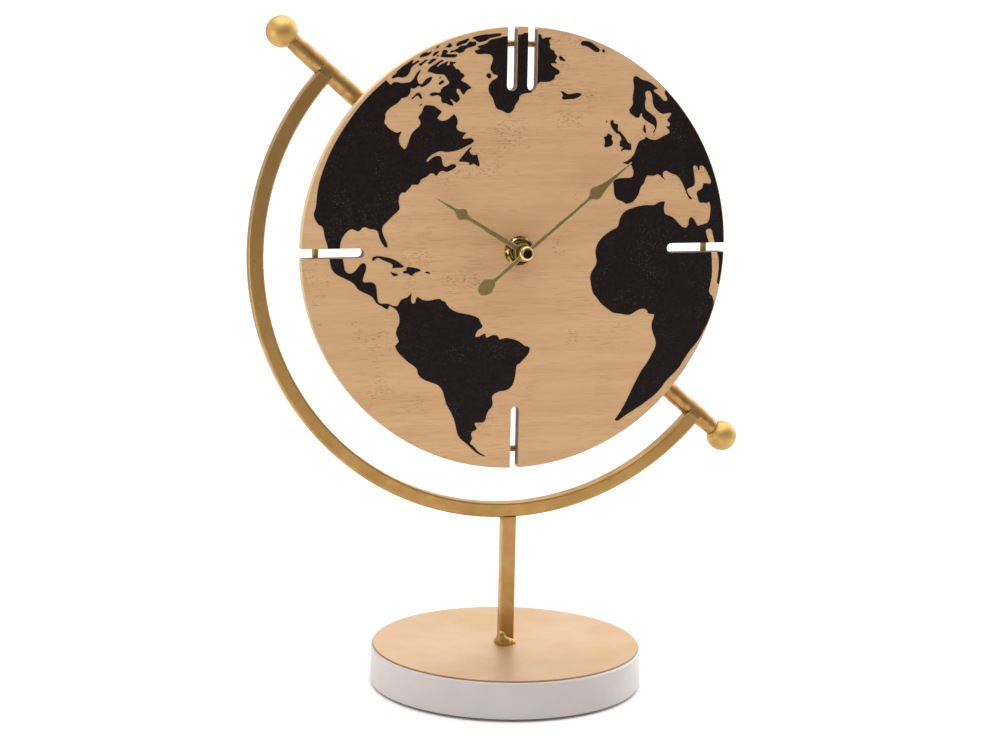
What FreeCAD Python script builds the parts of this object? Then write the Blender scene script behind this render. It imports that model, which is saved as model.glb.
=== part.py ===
import FreeCAD, Part

import math
import os

# Table clock with a round veneered dial board, a printed world map, a welded globe-style
# arc and a round base.  Millimetres, +Z up, the dial faces -Y.  The origin is the middle of
# the underside of the base pad.

# Dial board
DIAL_DIAMETER = 210.0
DIAL_CENTRE_HEIGHT = 213.6
BOARD_BACK_SET = 2.25
BOARD_THICKNESS = 4.9
VENEER_THICKNESS = 0.6
INK_THICKNESS = 0.12
INK_RIM_MARGIN = 0.3
BOARD_HOLE_DIAMETER = 8.2

# Slots let in from the rim of the board
SLOT_DEPTH = 29.8
SIDE_SLOT_WIDTH = 4.6
LOWER_SLOT_WIDTH = 4.1
UPPER_SLOT_WIDTH = 4.9
UPPER_SLOT_SPACING = 9.95

# Base
PAD_DIAMETER = 124.0
PAD_THICKNESS = 1.5
BLOCK_DIAMETER = 132.0
BLOCK_HEIGHT = 17.4
BLOCK_EDGE_RADIUS = 1.0
PLATE_DIAMETER = 130.0
PLATE_THICKNESS = 0.8
PLATE_EDGE_RADIUS = 0.3
LEVEL_TOLERANCE = 0.01
RECESS_DIAMETER = 20.0
RECESS_DEPTH = 9.0
HEXAGON_SIDES = 6
BOLT_DIAMETER = 4.0
BOLT_LENGTH = 20.0
BOLT_HEAD_DIAMETER = 7.0
BOLT_HEAD_HEIGHT = 4.0
BOLT_SOCKET_FLATS = 3.0
BOLT_SOCKET_DEPTH = 2.2
BOLT_WASHER_DIAMETER = 12.0
BOLT_WASHER_THICKNESS = 1.0

# Square bar of the stem and the arc
BAR_WIDTH = 7.2
BAR_DEPTH = 6.0
BAR_EDGE_RADIUS = 1.1
ARC_GAP = 16.6
ARC_DROP = 1.8
ARC_END_SET = 3.0
BRIDGE_REACH = 1.2
BRIDGE_RISE = 0.2

# Round tubes and balls on the tilted axis
UPPER_RISE = 40.5
LOWER_RISE = 40.0
UPPER_LINE_SET = 3.9
LOWER_LINE_SET = -1.7
TUBE_DIAMETER = 8.5
TUBE_WALL = 1.2
TUBE_BOARD_GAP = 0.1
TUBE_INNER_SET = 0.5
NECK_DIAMETER = 7.7
NECK_LENGTH = 7.0
BALL_DIAMETER = 14.8
UPPER_BALL_STAND_OUT = 22.6
LOWER_BALL_STAND_OUT = 18.1
SEAM_WIDTH = 0.7
SEAM_DEPTH = 0.6
STUD_LENGTH = 10.0

# Backing ring, its tabs and screws
RING_SET = 8.0
RING_WIRE_DIAMETER = 3.0
TAB_COUNT = 4
TAB_LENGTH = 14.0
TAB_WIDTH = 12.0
TAB_THICKNESS = 1.2
TAB_RING_OVERLAP = 0.5
TAB_SCREW_SET = 8.0
TAB_HOLE_GAP = 0.3
SCREW_DIAMETER = 2.8
SCREW_LENGTH = 5.0
SCREW_HEAD_DIAMETER = 6.0
SCREW_HEAD_HEIGHT = 1.8
SCREW_SLOT_WIDTH = 0.8
SCREW_SLOT_DEPTH = 0.8

# Fasteners of the movement
RUBBER_THICKNESS = 0.8
RUBBER_DIAMETER = 26.0
BUSH_DIAMETER = 7.8
BUSH_LENGTH = 11.05
HUB_WASHER_DIAMETER = 14.2
HUB_WASHER_THICKNESS = 0.8
HUB_NUT_FLATS = 12.0
HUB_NUT_HEIGHT = 2.5
HUB_NUT_BEVEL = 0.4

# Hands
MINUTE_REST_ANGLE = 50.6
MINUTE_LENGTH = 66.9
MINUTE_LEAF_WIDTH = 6.8
MINUTE_TAIL_REACH = 24.6
MINUTE_TAIL_LENGTH = 9.6
MINUTE_TAIL_WIDTH = 7.0
MINUTE_THICKNESS = 0.6
MINUTE_COLLAR_DIAMETER = 6.4
MINUTE_COLLAR_LENGTH = 1.7
HOUR_REST_ANGLE = -58.9
HOUR_LENGTH = 51.2
HOUR_LEAF_WIDTH = 6.0
HOUR_THICKNESS = 0.7
HOUR_COLLAR_DIAMETER = 8.6
HOUR_COLLAR_LENGTH = 2.5
HOUR_COLLAR_GAP = 0.5
HAND_GAP = 0.7
TUBE_STAND_OUT = 0.4
CAP_DIAMETER = 7.4
CAP_HEIGHT = 2.4
CAP_EDGE_RADIUS = 1.5
CAP_STUD_DIAMETER = 2.8
CAP_STUD_LENGTH = 1.4

# Movement case
CASE_SIDE = 56.0
CASE_DEPTH = 15.6
CASE_WALL = 1.2
CASE_CORNER_RADIUS = 3.0
BAY_FRONT_WALL = 0.8
BAY_HEIGHT = 14.8
COVER_THICKNESS = 1.2
CONTACT_NOTCH = 1.0
CONTACT_NOTCH_DEPTH = 6.0
BATTERY_DIAMETER = 14.2
BATTERY_LENGTH = 49.0
BATTERY_NUB_DIAMETER = 5.5
BATTERY_NUB_LENGTH = 1.0
BATTERY_EDGE_RADIUS = 0.6
BATTERY_GAP = 0.3
CONTACT_THICKNESS = 0.4
CONTACT_WIDTH = 5.0
CONTACT_SPRING_DIAMETER = 6.0
CONTACT_SPRING_LENGTH = 1.0
CONTACT_RISE = 6.0

# Gear train
HOUR_TUBE_DIAMETER = 5.0
ARBOR_DIAMETER = 3.5
PIVOT_DIAMETER = 1.0
SPINDLE_DIAMETER = 2.0
RUN_GAP = 0.05
LAYER_GAP = 0.4
WORK_MODULE = 0.30
TRAIN_MODULE = 0.18
CENTRE_MODULE = 0.17
ROTOR_MODULE = 0.15
CANNON_TEETH = 15
MOTION_TEETH = 45
MOTION_PINION_TEETH = 12
HOUR_TEETH = 48
SETTING_TEETH = 15
CENTRE_TEETH = 64
THIRD_PINION_TEETH = 8
THIRD_TEETH = 60
SECOND_PINION_TEETH = 8
SECOND_TEETH = 60
INTERMEDIATE_PINION_TEETH = 12
INTERMEDIATE_TEETH = 60
ROTOR_PINION_TEETH = 10
HALF_TOOTH = 0.5
ADDENDUM_SHARE = 0.7
DEDENDUM_SHARE = 1.0
TOOTH_TIP_SHARE = 0.14
TOOTH_ROOT_SHARE = 0.46
HOUR_WHEEL_THICKNESS = 1.0
MOTION_WHEEL_THICKNESS = 0.8
TRAIN_WHEEL_THICKNESS = 0.5
CENTRE_WHEEL_THICKNESS = 0.6
SPRING_THICKNESS = 0.3
SPRING_DIAMETER = 7.0
FLANGE_DIAMETER = 5.2
FLANGE_THICKNESS = 0.4
MOTION_ANGLE = 150.0
SETTING_ANGLE = 160.0
THIRD_ANGLE = 30.0
INTERMEDIATE_ANGLE = 120.0
ROTOR_ANGLE = 60.0
PIVOT_DEPTH = 0.8
PIVOT_END_GAP = 0.15
BOSS_DIAMETER = 2.8
BOSS_LENGTH = 1.4
MAGNET_DIAMETER = 5.5
MAGNET_THICKNESS = 1.8
KNOB_DIAMETER = 12.0
KNOB_HEIGHT = 3.0
KNOB_GAP = 0.3
KNOB_NOTCH_COUNT = 16
KNOB_NOTCH_DIAMETER = 1.0

# Middle plate and its pillars
MIDDLE_SHEET = 1.0
MIDDLE_LEFT = -20.0
MIDDLE_RIGHT = 13.5
MIDDLE_BOTTOM = -8.5
MIDDLE_TOP = 14.0
PILLAR_DIAMETER = 3.0
PILLAR_LEFT_SET = 2.0
PILLAR_RIGHT_SET = 2.5
PILLAR_BOTTOM_SET = 2.5
PILLAR_TOP_SET = 2.0
PILLAR_TOP_SIDE = 6.0

# Motor
STATOR_THICKNESS = 0.8
STATOR_BORE = 6.8
STATOR_RING_DIAMETER = 8.8
STATOR_BAR_HEIGHT = 6.0
STATOR_LEFT = -14.4
STATOR_RIGHT = 13.0
STATOR_LEG_WIDTH = 4.0
STATOR_SET = 0.45
CORE_TOP = 23.0
CORE_HEIGHT = 4.0
CORE_THICKNESS = 0.8
BOBBIN_WALL = 0.5
BOBBIN_GAP = 0.1
BOBBIN_END_SET = 0.6
FLANGE_SHEET = 0.6
FLANGE_RISE = 1.6
WINDING_BUILD = 1.3

# Circuit board
CIRCUIT_LEFT = -25.0
CIRCUIT_RIGHT = 8.0
CIRCUIT_BOTTOM = 14.6
CIRCUIT_TOP = 25.4
CIRCUIT_SHEET = 0.8
CIRCUIT_STAND_OFF = 4.85
CIRCUIT_PILLAR_SET = 3.0
CHIP_DIAMETER = 6.0
CHIP_HEIGHT = 1.2
CHIP_LEFT_SET = 12.0
CRYSTAL_DIAMETER = 2.0
CRYSTAL_LENGTH = 6.0
CRYSTAL_LEFT_SET = 20.0

# Weld beads: reach across, reach towards the back, rise and size
FOOT_BEADS = [
    (-3.0, -2.4, 3.6, 2.5),
    (-2.6, -2.3, 1.2, 3.0),
    (0.5, -2.1, 0, 2.5),
    (2.8, -1.7, 0, 2.0),
    (-1.6, 1.6, 0, 2.6),
    (2.2, 1.8, 0, 2.1),
]
HEAD_BEADS = [(-3.4, -1.6, 0, 1.4), (3.4, 1.2, 0, 1.2)]

OVERRUN = 1.0

# Corners of the printed coasts are rounded over this share of the shorter run beside them.
ROUNDING_SHARE = 0.45
STRAIGHT_SHARE = 0.02

# Minute hand, hub to tip: distance as a share of the length, half width as a share of the leaf.
MINUTE_HAND_SHARES = [
    (0.0, 0.30), (0.30, 0.27), (0.595, 0.235), (0.612, 0.36), (0.635, 0.80), (0.660, 1.0),
    (0.690, 0.85), (0.730, 0.58), (0.777, 0.40), (0.860, 0.26), (0.940, 0.16), (1.0, 0.06),
]
# Hour hand, hub to tip, in the same way.
HOUR_HAND_SHARES = [
    (0.0, 0.47), (0.30, 0.40), (0.622, 0.29), (0.649, 0.48), (0.675, 0.85), (0.700, 1.0),
    (0.724, 0.87), (0.753, 0.50), (0.787, 0.29), (0.88, 0.21), (1.0, 0.08),
]

# Printed land, as shares of the dial radius: across to the right, then up.
AMERICAS_SHARES = [
    (-.626, .763), (-.618, .752), (-.605, .739), (-.598, .749), (-.583, .754), (-.569, .752),
    (-.560, .748), (-.535, .7505), (-.517, .753), (-.506, .763), (-.497, .776), (-.488, .793),
    (-.476, .803), (-.465, .811), (-.472, .799), (-.480, .785), (-.487, .770), (-.482, .757),
    (-.480, .748), (-.466, .743), (-.460, .748), (-.452, .760), (-.440, .770), (-.428, .776),
    (-.417, .778), (-.418, .768), (-.424, .758), (-.433, .748), (-.445, .739), (-.458, .733),
    (-.466, .730), (-.475, .738), (-.485, .734), (-.497, .724), (-.507, .7265), (-.514, .727),
    (-.5145, .714), (-.520, .699), (-.533, .687), (-.546, .684), (-.556, .683), (-.562, .672),
    (-.574, .661), (-.590, .651), (-.606, .641), (-.617, .631), (-.626, .621), (-.629, .607),
    (-.627, .595), (-.632, .583), (-.631, .572), (-.622, .563), (-.613, .552), (-.598, .542),
    (-.585, .535), (-.576, .531), (-.565, .533), (-.552, .541), (-.558, .526), (-.564, .512),
    (-.566, .498), (-.561, .481), (-.550, .466), (-.541, .4585), (-.535, .461), (-.527, .473),
    (-.521, .490), (-.516, .508), (-.509, .524), (-.500, .536), (-.488, .547), (-.476, .557),
    (-.469, .567), (-.467, .577), (-.472, .588), (-.479, .600), (-.470, .611), (-.462, .620),
    (-.457, .635), (-.452, .648), (-.446, .652), (-.420, .652), (-.405, .649), (-.390, .638),
    (-.376, .629), (-.3705, .624), (-.375, .616), (-.383, .608), (-.391, .599), (-.386, .591),
    (-.375, .584), (-.362, .583), (-.350, .586), (-.338, .593), (-.327, .602), (-.3145, .614),
    (-.307, .606), (-.299, .594), (-.2965, .580), (-.297, .569), (-.303, .558), (-.301, .549),
    (-.292, .540), (-.278, .534), (-.253, .532), (-.263, .523), (-.271, .514), (-.274, .505),
    (-.262, .5035), (-.248, .506), (-.233, .507), (-.223, .501), (-.219, .495), (-.224, .487),
    (-.237, .479), (-.254, .472), (-.269, .464), (-.284, .457), (-.300, .452), (-.322, .448),
    (-.345, .445), (-.372, .450), (-.385, .448), (-.400, .440), (-.417, .431), (-.432, .418),
    (-.438, .407), (-.4335, .4015), (-.427, .406), (-.416, .417), (-.402, .426), (-.388, .429),
    (-.375, .428), (-.368, .420), (-.365, .405), (-.363, .391), (-.356, .382), (-.345, .3795),
    (-.335, .385), (-.323, .391), (-.310, .3925), (-.299, .385), (-.302, .377), (-.315, .369),
    (-.331, .361), (-.345, .356), (-.355, .361), (-.367, .363), (-.378, .357), (-.385, .346),
    (-.3915, .338), (-.398, .346), (-.408, .353), (-.418, .352), (-.427, .344), (-.438, .334),
    (-.452, .330), (-.461, .325), (-.466, .312), (-.473, .302), (-.506, .301), (-.508, .291),
    (-.520, .282), (-.534, .265), (-.542, .269), (-.555, .263), (-.560, .250), (-.563, .2335),
    (-.560, .214), (-.5565, .196), (-.568, .1815), (-.586, .167), (-.604, .150), (-.618, .135),
    (-.629, .127), (-.636, .112), (-.6365, .095), (-.630, .078), (-.623, .062), (-.614, .046),
    (-.610, .030), (-.615, .022), (-.624, .026), (-.634, .040), (-.644, .056), (-.650, .074),
    (-.655, .093), (-.664, .103), (-.678, .106), (-.692, .106), (-.715, .117), (-.727, .113),
    (-.736, .102), (-.746, .0965), (-.773, .109), (-.786, .105), (-.799, .095), (-.812, .078),
    (-.822, .060), (-.8265, .040), (-.827, .019), (-.820, -.005), (-.8125, -.028), (-.806, -.070),
    (-.798, -.083), (-.786, -.089), (-.772, -.089), (-.757, -.079), (-.745, -.063), (-.733, -.048),
    (-.7215, -.043), (-.711, -.047), (-.707, -.060), (-.709, -.078), (-.722, -.112), (-.722, -.126),
    (-.714, -.1305), (-.695, -.129), (-.676, -.131), (-.664, -.141), (-.659, -.157), (-.655, -.203),
    (-.650, -.219), (-.640, -.227), (-.610, -.227), (-.598, -.230), (-.585, -.237), (-.573, -.240),
    (-.560, -.238), (-.554, -.225), (-.548, -.213), (-.533, -.206), (-.514, -.200), (-.506, -.190),
    (-.4965, -.181), (-.499, -.198), (-.500, -.217), (-.494, -.229), (-.484, -.231), (-.479, -.220),
    (-.477, -.207), (-.469, -.199), (-.458, -.207), (-.445, -.215), (-.425, -.218), (-.403, -.217),
    (-.385, -.212), (-.3635, -.211), (-.354, -.222), (-.339, -.224), (-.334, -.237), (-.321, -.253),
    (-.302, -.266), (-.279, -.276), (-.2205, -.2875), (-.1945, -.297), (-.180, -.305), (-.175, -.321),
    (-.159, -.345), (-.185, -.357), (-.193, -.370), (-.198, -.3895), (-.1815, -.3895), (-.149, -.371),
    (-.148, -.386), (-.1425, -.396), (-.1295, -.388), (-.113, -.382), (-.097, -.383), (-.086, -.393),
    (-.084, -.404), (-.068, -.401), (-.0515, -.397), (-.0255, -.401), (0, -.409), (.019, -.419),
    (.0385, -.437), (.058, -.440), (.0645, -.449), (.061, -.464), (.050, -.484), (.032, -.500),
    (.016, -.518), (.003, -.521), (-.0005, -.539), (-.002, -.565), (-.008, -.5975), (-.016, -.617),
    (-.032, -.633), (-.0515, -.640), (-.0775, -.642), (-.097, -.6495), (-.113, -.6625), (-.111, -.679),
    (-.107, -.698), (-.113, -.7145), (-.1295, -.731), (-.137, -.750), (-.141, -.770), (-.150, -.784),
    (-.1945, -.783), (-.188, -.799), (-.180, -.809), (-.188, -.8185), (-.202, -.822), (-.209, -.835),
    (-.202, -.8575), (-.211, -.8705), (-.212, -.880), (-.200, -.887), (-.175, -.916), (-.1555, -.930),
    (-.131, -.942), (-.152, -.939), (-.175, -.928), (-.198, -.9095), (-.217, -.890), (-.2595, -.854),
    (-.2725, -.835), (-.278, -.812), (-.287, -.773), (-.2985, -.744), (-.315, -.7145), (-.328, -.692),
    (-.344, -.6365), (-.3505, -.6235), (-.3635, -.607), (-.380, -.5975), (-.409, -.588), (-.435, -.577),
    (-.4545, -.562), (-.463, -.549), (-.4675, -.526), (-.484, -.512), (-.5065, -.497), (-.529, -.477),
    (-.552, -.4545), (-.565, -.435), (-.5715, -.419), (-.553, -.401), (-.557, -.386), (-.565, -.373),
    (-.568, -.356), (-.560, -.334), (-.552, -.318), (-.551, -.2985), (-.555, -.279), (-.563, -.262),
    (-.575, -.250), (-.597, -.237), (-.602, -.240), (-.605, -.250), (-.612, -.254), (-.621, -.247),
    (-.635, -.238), (-.650, -.231), (-.661, -.222), (-.669, -.208), (-.677, -.197), (-.690, -.188),
    (-.708, -.180), (-.744, -.162), (-.757, -.142), (-.769, -.130), (-.788, -.119), (-.829, -.100),
    (-.847, -.090), (-.859, -.076), (-.868, -.057), (-.873, -.032), (-.884, .037), (-.892, .060),
    (-.898, .080), (-.901, .100), (-.9055, .116), (-.912, .125), (-.922, .126), (-.930, .136),
    (-.939, .150), (-.946, .168), (-.947, .178), (-.9375, .204), (-.9336, .250), (-.927, .2985),
    (-.915, .344), (-.8965, .396), (-.874, .448), (-.850, .4935), (-.825, .536), (-.796, .578),
    (-.770, .614), (-.737, .656), (-.695, .7015),
]
OLD_WORLD_SHARES = [
    (.6835, .7175), (.70, .735), (.80, .76), (1.00, .52), (1.10, .20), (1.10, -.10), (1.0, -.160),
    (.9765, -.175), (.971, -.162), (.9745, -.136), (.978, -.1035), (.978, -.071), (.9745, -.045),
    (.968, -.029), (.953, .022), (.943, .055), (.937, .078), (.932, .086), (.915, .086), (.906, .078),
    (.910, .060), (.918, .040), (.925, .022), (.939, -.0255), (.943, -.084), (.945, -.123),
    (.942, -.1555), (.932, -.204), (.939, -.219), (.950, -.228), (.954, -.240), (.960, -.256),
    (.958, -.2725), (.952, -.2985), (.937, -.345), (.916, -.383), (.8965, -.422), (.877, -.448),
    (.851, -.477), (.8315, -.503), (.799, -.555), (.7795, -.578), (.757, -.5975), (.737, -.617),
    (.721, -.6365), (.705, -.659), (.682, -.682), (.656, -.7015), (.604, -.737), (.552, -.7665),
    (.5325, -.7795), (.500, -.801), (.488, -.800), (.486, -.7925), (.497, -.7795), (.510, -.760),
    (.526, -.734), (.549, -.6885), (.573, -.6365), (.5845, -.614), (.6105, -.565), (.630, -.542),
    (.646, -.516), (.659, -.490), (.672, -.4675), (.6775, -.448), (.674, -.425), (.666, -.406),
    (.658, -.386), (.653, -.3635), (.654, -.341), (.6625, -.321), (.666, -.308), (.656, -.305),
    (.633, -.303), (.630, -.289), (.620, -.280), (.601, -.279), (.5845, -.2835), (.565, -.295),
    (.549, -.305), (.529, -.307), (.510, -.302), (.461, -.295), (.448, -.2855), (.4025, -.252),
    (.386, -.230), (.3635, -.204), (.357, -.188), (.347, -.1425), (.346, -.1165), (.354, -.100),
    (.373, -.071), (.3765, -.0515), (.370, -.029), (.368, -.006), (.373, .016), (.383, .035),
    (.396, .0515), (.412, .0645), (.4285, .0775), (.451, .089), (.4675, .096), (.475, .105),
    (.479, .123), (.484, .1425), (.4935, .159), (.5065, .172), (.523, .180), (.5455, .188),
    (.578, .196), (.6105, .199), (.6495, .198), (.6625, .2075), (.679, .215), (.700, .215),
    (.698, .204), (.695, .1815), (.698, .162), (.711, .152), (.734, .146), (.750, .135),
    (.776, .107), (.7925, .094), (.809, .0925), (.8185, .1035), (.820, .123), (.824, .139),
    (.835, .141), (.848, .1295), (.864, .100), (.880, .1035), (.8965, .109), (.913, .113),
    (.9225, .1295), (.926, .1555), (.926, .188), (.921, .2075), (.913, .211), (.9095, .204),
    (.890, .2075), (.8705, .2075), (.864, .217), (.861, .2335), (.854, .250), (.8575, .2595),
    (.8705, .267), (.882, .2725), (.8835, .2855), (.887, .295), (.900, .2985), (.913, .293),
    (.9225, .295), (.9245, .308), (.916, .3245), (.8965, .360), (.8835, .3765), (.8705, .380),
    (.864, .373), (.865, .357), (.857, .357), (.8575, .367), (.848, .378), (.837, .380),
    (.833, .370), (.838, .344), (.843, .318), (.8445, .2985), (.841, .2855), (.825, .279),
    (.809, .2725), (.8055, .263), (.812, .250), (.822, .237), (.833, .230), (.8315, .222),
    (.822, .224), (.812, .237), (.804, .253), (.786, .292), (.773, .315), (.760, .328),
    (.747, .3375), (.724, .343), (.708, .354), (.695, .356), (.685, .347), (.685, .334),
    (.692, .321), (.6995, .3115), (.682, .3245), (.669, .3375), (.659, .341), (.646, .334),
    (.630, .332), (.614, .336), (.604, .328), (.5995, .3115), (.594, .2985), (.581, .2855),
    (.575, .2725), (.5715, .253), (.562, .237), (.552, .224), (.542, .214), (.526, .2075),
    (.510, .2055), (.497, .214), (.4805, .222), (.464, .227), (.456, .240), (.451, .256),
    (.448, .2855), (.445, .305), (.448, .314), (.470, .3225), (.500, .324), (.525, .324),
    (.537, .329), (.542, .342), (.541, .358), (.534, .371), (.530, .384), (.515, .386),
    (.489, .391), (.492, .395), (.505, .399), (.517, .406), (.527, .413), (.537, .425),
    (.545, .438), (.549, .453), (.560, .483), (.568, .493), (.580, .497), (.590, .501),
    (.5985, .512), (.604, .507), (.614, .501), (.627, .497), (.640, .496), (.655, .499),
    (.667, .506), (.690, .518), (.704, .523), (.713, .529), (.711, .537), (.706, .545),
    (.697, .553), (.691, .560), (.703, .556), (.712, .562), (.713, .570), (.708, .576),
    (.699, .583), (.698, .590), (.707, .598), (.714, .608), (.719, .616), (.714, .619),
    (.703, .619), (.690, .616), (.675, .614), (.662, .619), (.650, .628), (.640, .637),
    (.631, .648), (.626, .662), (.622, .695), (.618, .706), (.612, .716), (.605, .719),
    (.595, .718), (.587, .712), (.588, .700), (.592, .688), (.589, .672), (.587, .655),
    (.590, .640), (.597, .630), (.608, .622), (.632, .606), (.641, .596), (.647, .583),
    (.649, .568), (.647, .553), (.642, .540), (.634, .529), (.629, .527), (.634, .537),
    (.640, .547), (.639, .556), (.633, .563), (.605, .578), (.590, .588), (.579, .598),
    (.575, .607), (.576, .616), (.570, .618), (.566, .611), (.564, .602), (.556, .596),
    (.548, .597), (.538, .603), (.525, .611), (.515, .620), (.512, .631), (.519, .643),
    (.527, .653), (.530, .665), (.527, .680), (.528, .700), (.532, .720), (.533, .737),
    (.527, .768), (.529, .780), (.540, .7855), (.549, .782), (.560, .774), (.575, .767),
    (.597, .763), (.612, .756), (.640, .736), (.650, .729), (.641, .726), (.632, .725),
    (.626, .719), (.634, .712), (.648, .703), (.661, .693), (.672, .680), (.682, .672),
    (.692, .674), (.697, .683), (.692, .693), (.684, .702), (.681, .712),
]
GREENLAND_SHARES = [
    (-.212, .911), (-.198, .916), (-.183, .920), (-.167, .926), (-.156, .938), (-.148, .943),
    (-.120, .947), (-.100, .953), (-.085, .957), (-.068, .956), (-.022, .965), (-.002, .966),
    (.004, .973), (.022, .972), (.070, .968), (.084, .967), (.086, .955), (.092, .947),
    (.105, .953), (.120, .954), (.134, .955), (.131, .948), (.121, .942), (.124, .932),
    (.128, .922), (.125, .912), (.132, .901), (.144, .898), (.149, .893), (.148, .885),
    (.157, .878), (.162, .868), (.157, .858), (.152, .850), (.161, .842), (.158, .838),
    (.145, .840), (.132, .838), (.137, .831), (.150, .821), (.166, .813), (.176, .804),
    (.174, .794), (.165, .789), (.153, .787), (.154, .777), (.148, .768), (.135, .760),
    (.115, .756), (.085, .757), (.078, .754), (.072, .745), (.058, .727), (.045, .709),
    (.030, .708), (.010, .705), (-.003, .700), (-.012, .692), (-.012, .680), (-.021, .666),
    (-.031, .653), (-.034, .640), (-.042, .627), (-.054, .618), (-.065, .616), (-.078, .621),
    (-.090, .629), (-.105, .632), (-.118, .639), (-.125, .652), (-.136, .685), (-.148, .699),
    (-.154, .712), (-.158, .727), (-.155, .740), (-.147, .751), (-.140, .762), (-.128, .767),
    (-.117, .774), (-.113, .783), (-.122, .788), (-.134, .788), (-.140, .797), (-.149, .808),
    (-.150, .822), (-.143, .838), (-.138, .852), (-.141, .867), (-.150, .876), (-.170, .879),
    (-.195, .877), (-.213, .878), (-.222, .886), (-.224, .895), (-.211, .896), (-.197, .901),
    (-.208, .906),
]
BAFFIN_SHARES = [
    (-.441, .800), (-.432, .812), (-.424, .821), (-.412, .828), (-.399, .836), (-.388, .844),
    (-.375, .850), (-.367, .851), (-.364, .847), (-.375, .842), (-.386, .835), (-.397, .823),
    (-.393, .820), (-.385, .826), (-.374, .834), (-.360, .838), (-.348, .846), (-.344, .846),
    (-.346, .838), (-.354, .831), (-.348, .827), (-.338, .829), (-.338, .843), (-.331, .845),
    (-.319, .841), (-.311, .845), (-.310, .837), (-.325, .833), (-.319, .825), (-.311, .817),
    (-.308, .809), (-.300, .813), (-.292, .808), (-.289, .798), (-.279, .793), (-.268, .785),
    (-.271, .775), (-.281, .769), (-.285, .762), (-.277, .757), (-.263, .752), (-.250, .742),
    (-.237, .732), (-.238, .726), (-.250, .722), (-.260, .715), (-.265, .705), (-.273, .698),
    (-.279, .705), (-.286, .716), (-.291, .725), (-.301, .726), (-.306, .717), (-.302, .706),
    (-.294, .698), (-.290, .687), (-.287, .678), (-.295, .671), (-.299, .664), (-.307, .664),
    (-.317, .671), (-.329, .680), (-.333, .677), (-.325, .668), (-.318, .658), (-.319, .650),
    (-.331, .651), (-.345, .657), (-.358, .663), (-.368, .661), (-.374, .670), (-.373, .681),
    (-.380, .693), (-.391, .697), (-.405, .694), (-.418, .692), (-.429, .696), (-.425, .703),
    (-.411, .709), (-.397, .709), (-.384, .706), (-.378, .710), (-.376, .722), (-.368, .731),
    (-.355, .738), (-.343, .744), (-.337, .751), (-.344, .762), (-.353, .775), (-.361, .785),
    (-.371, .788), (-.390, .788), (-.405, .790), (-.420, .795), (-.432, .797),
]
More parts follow.
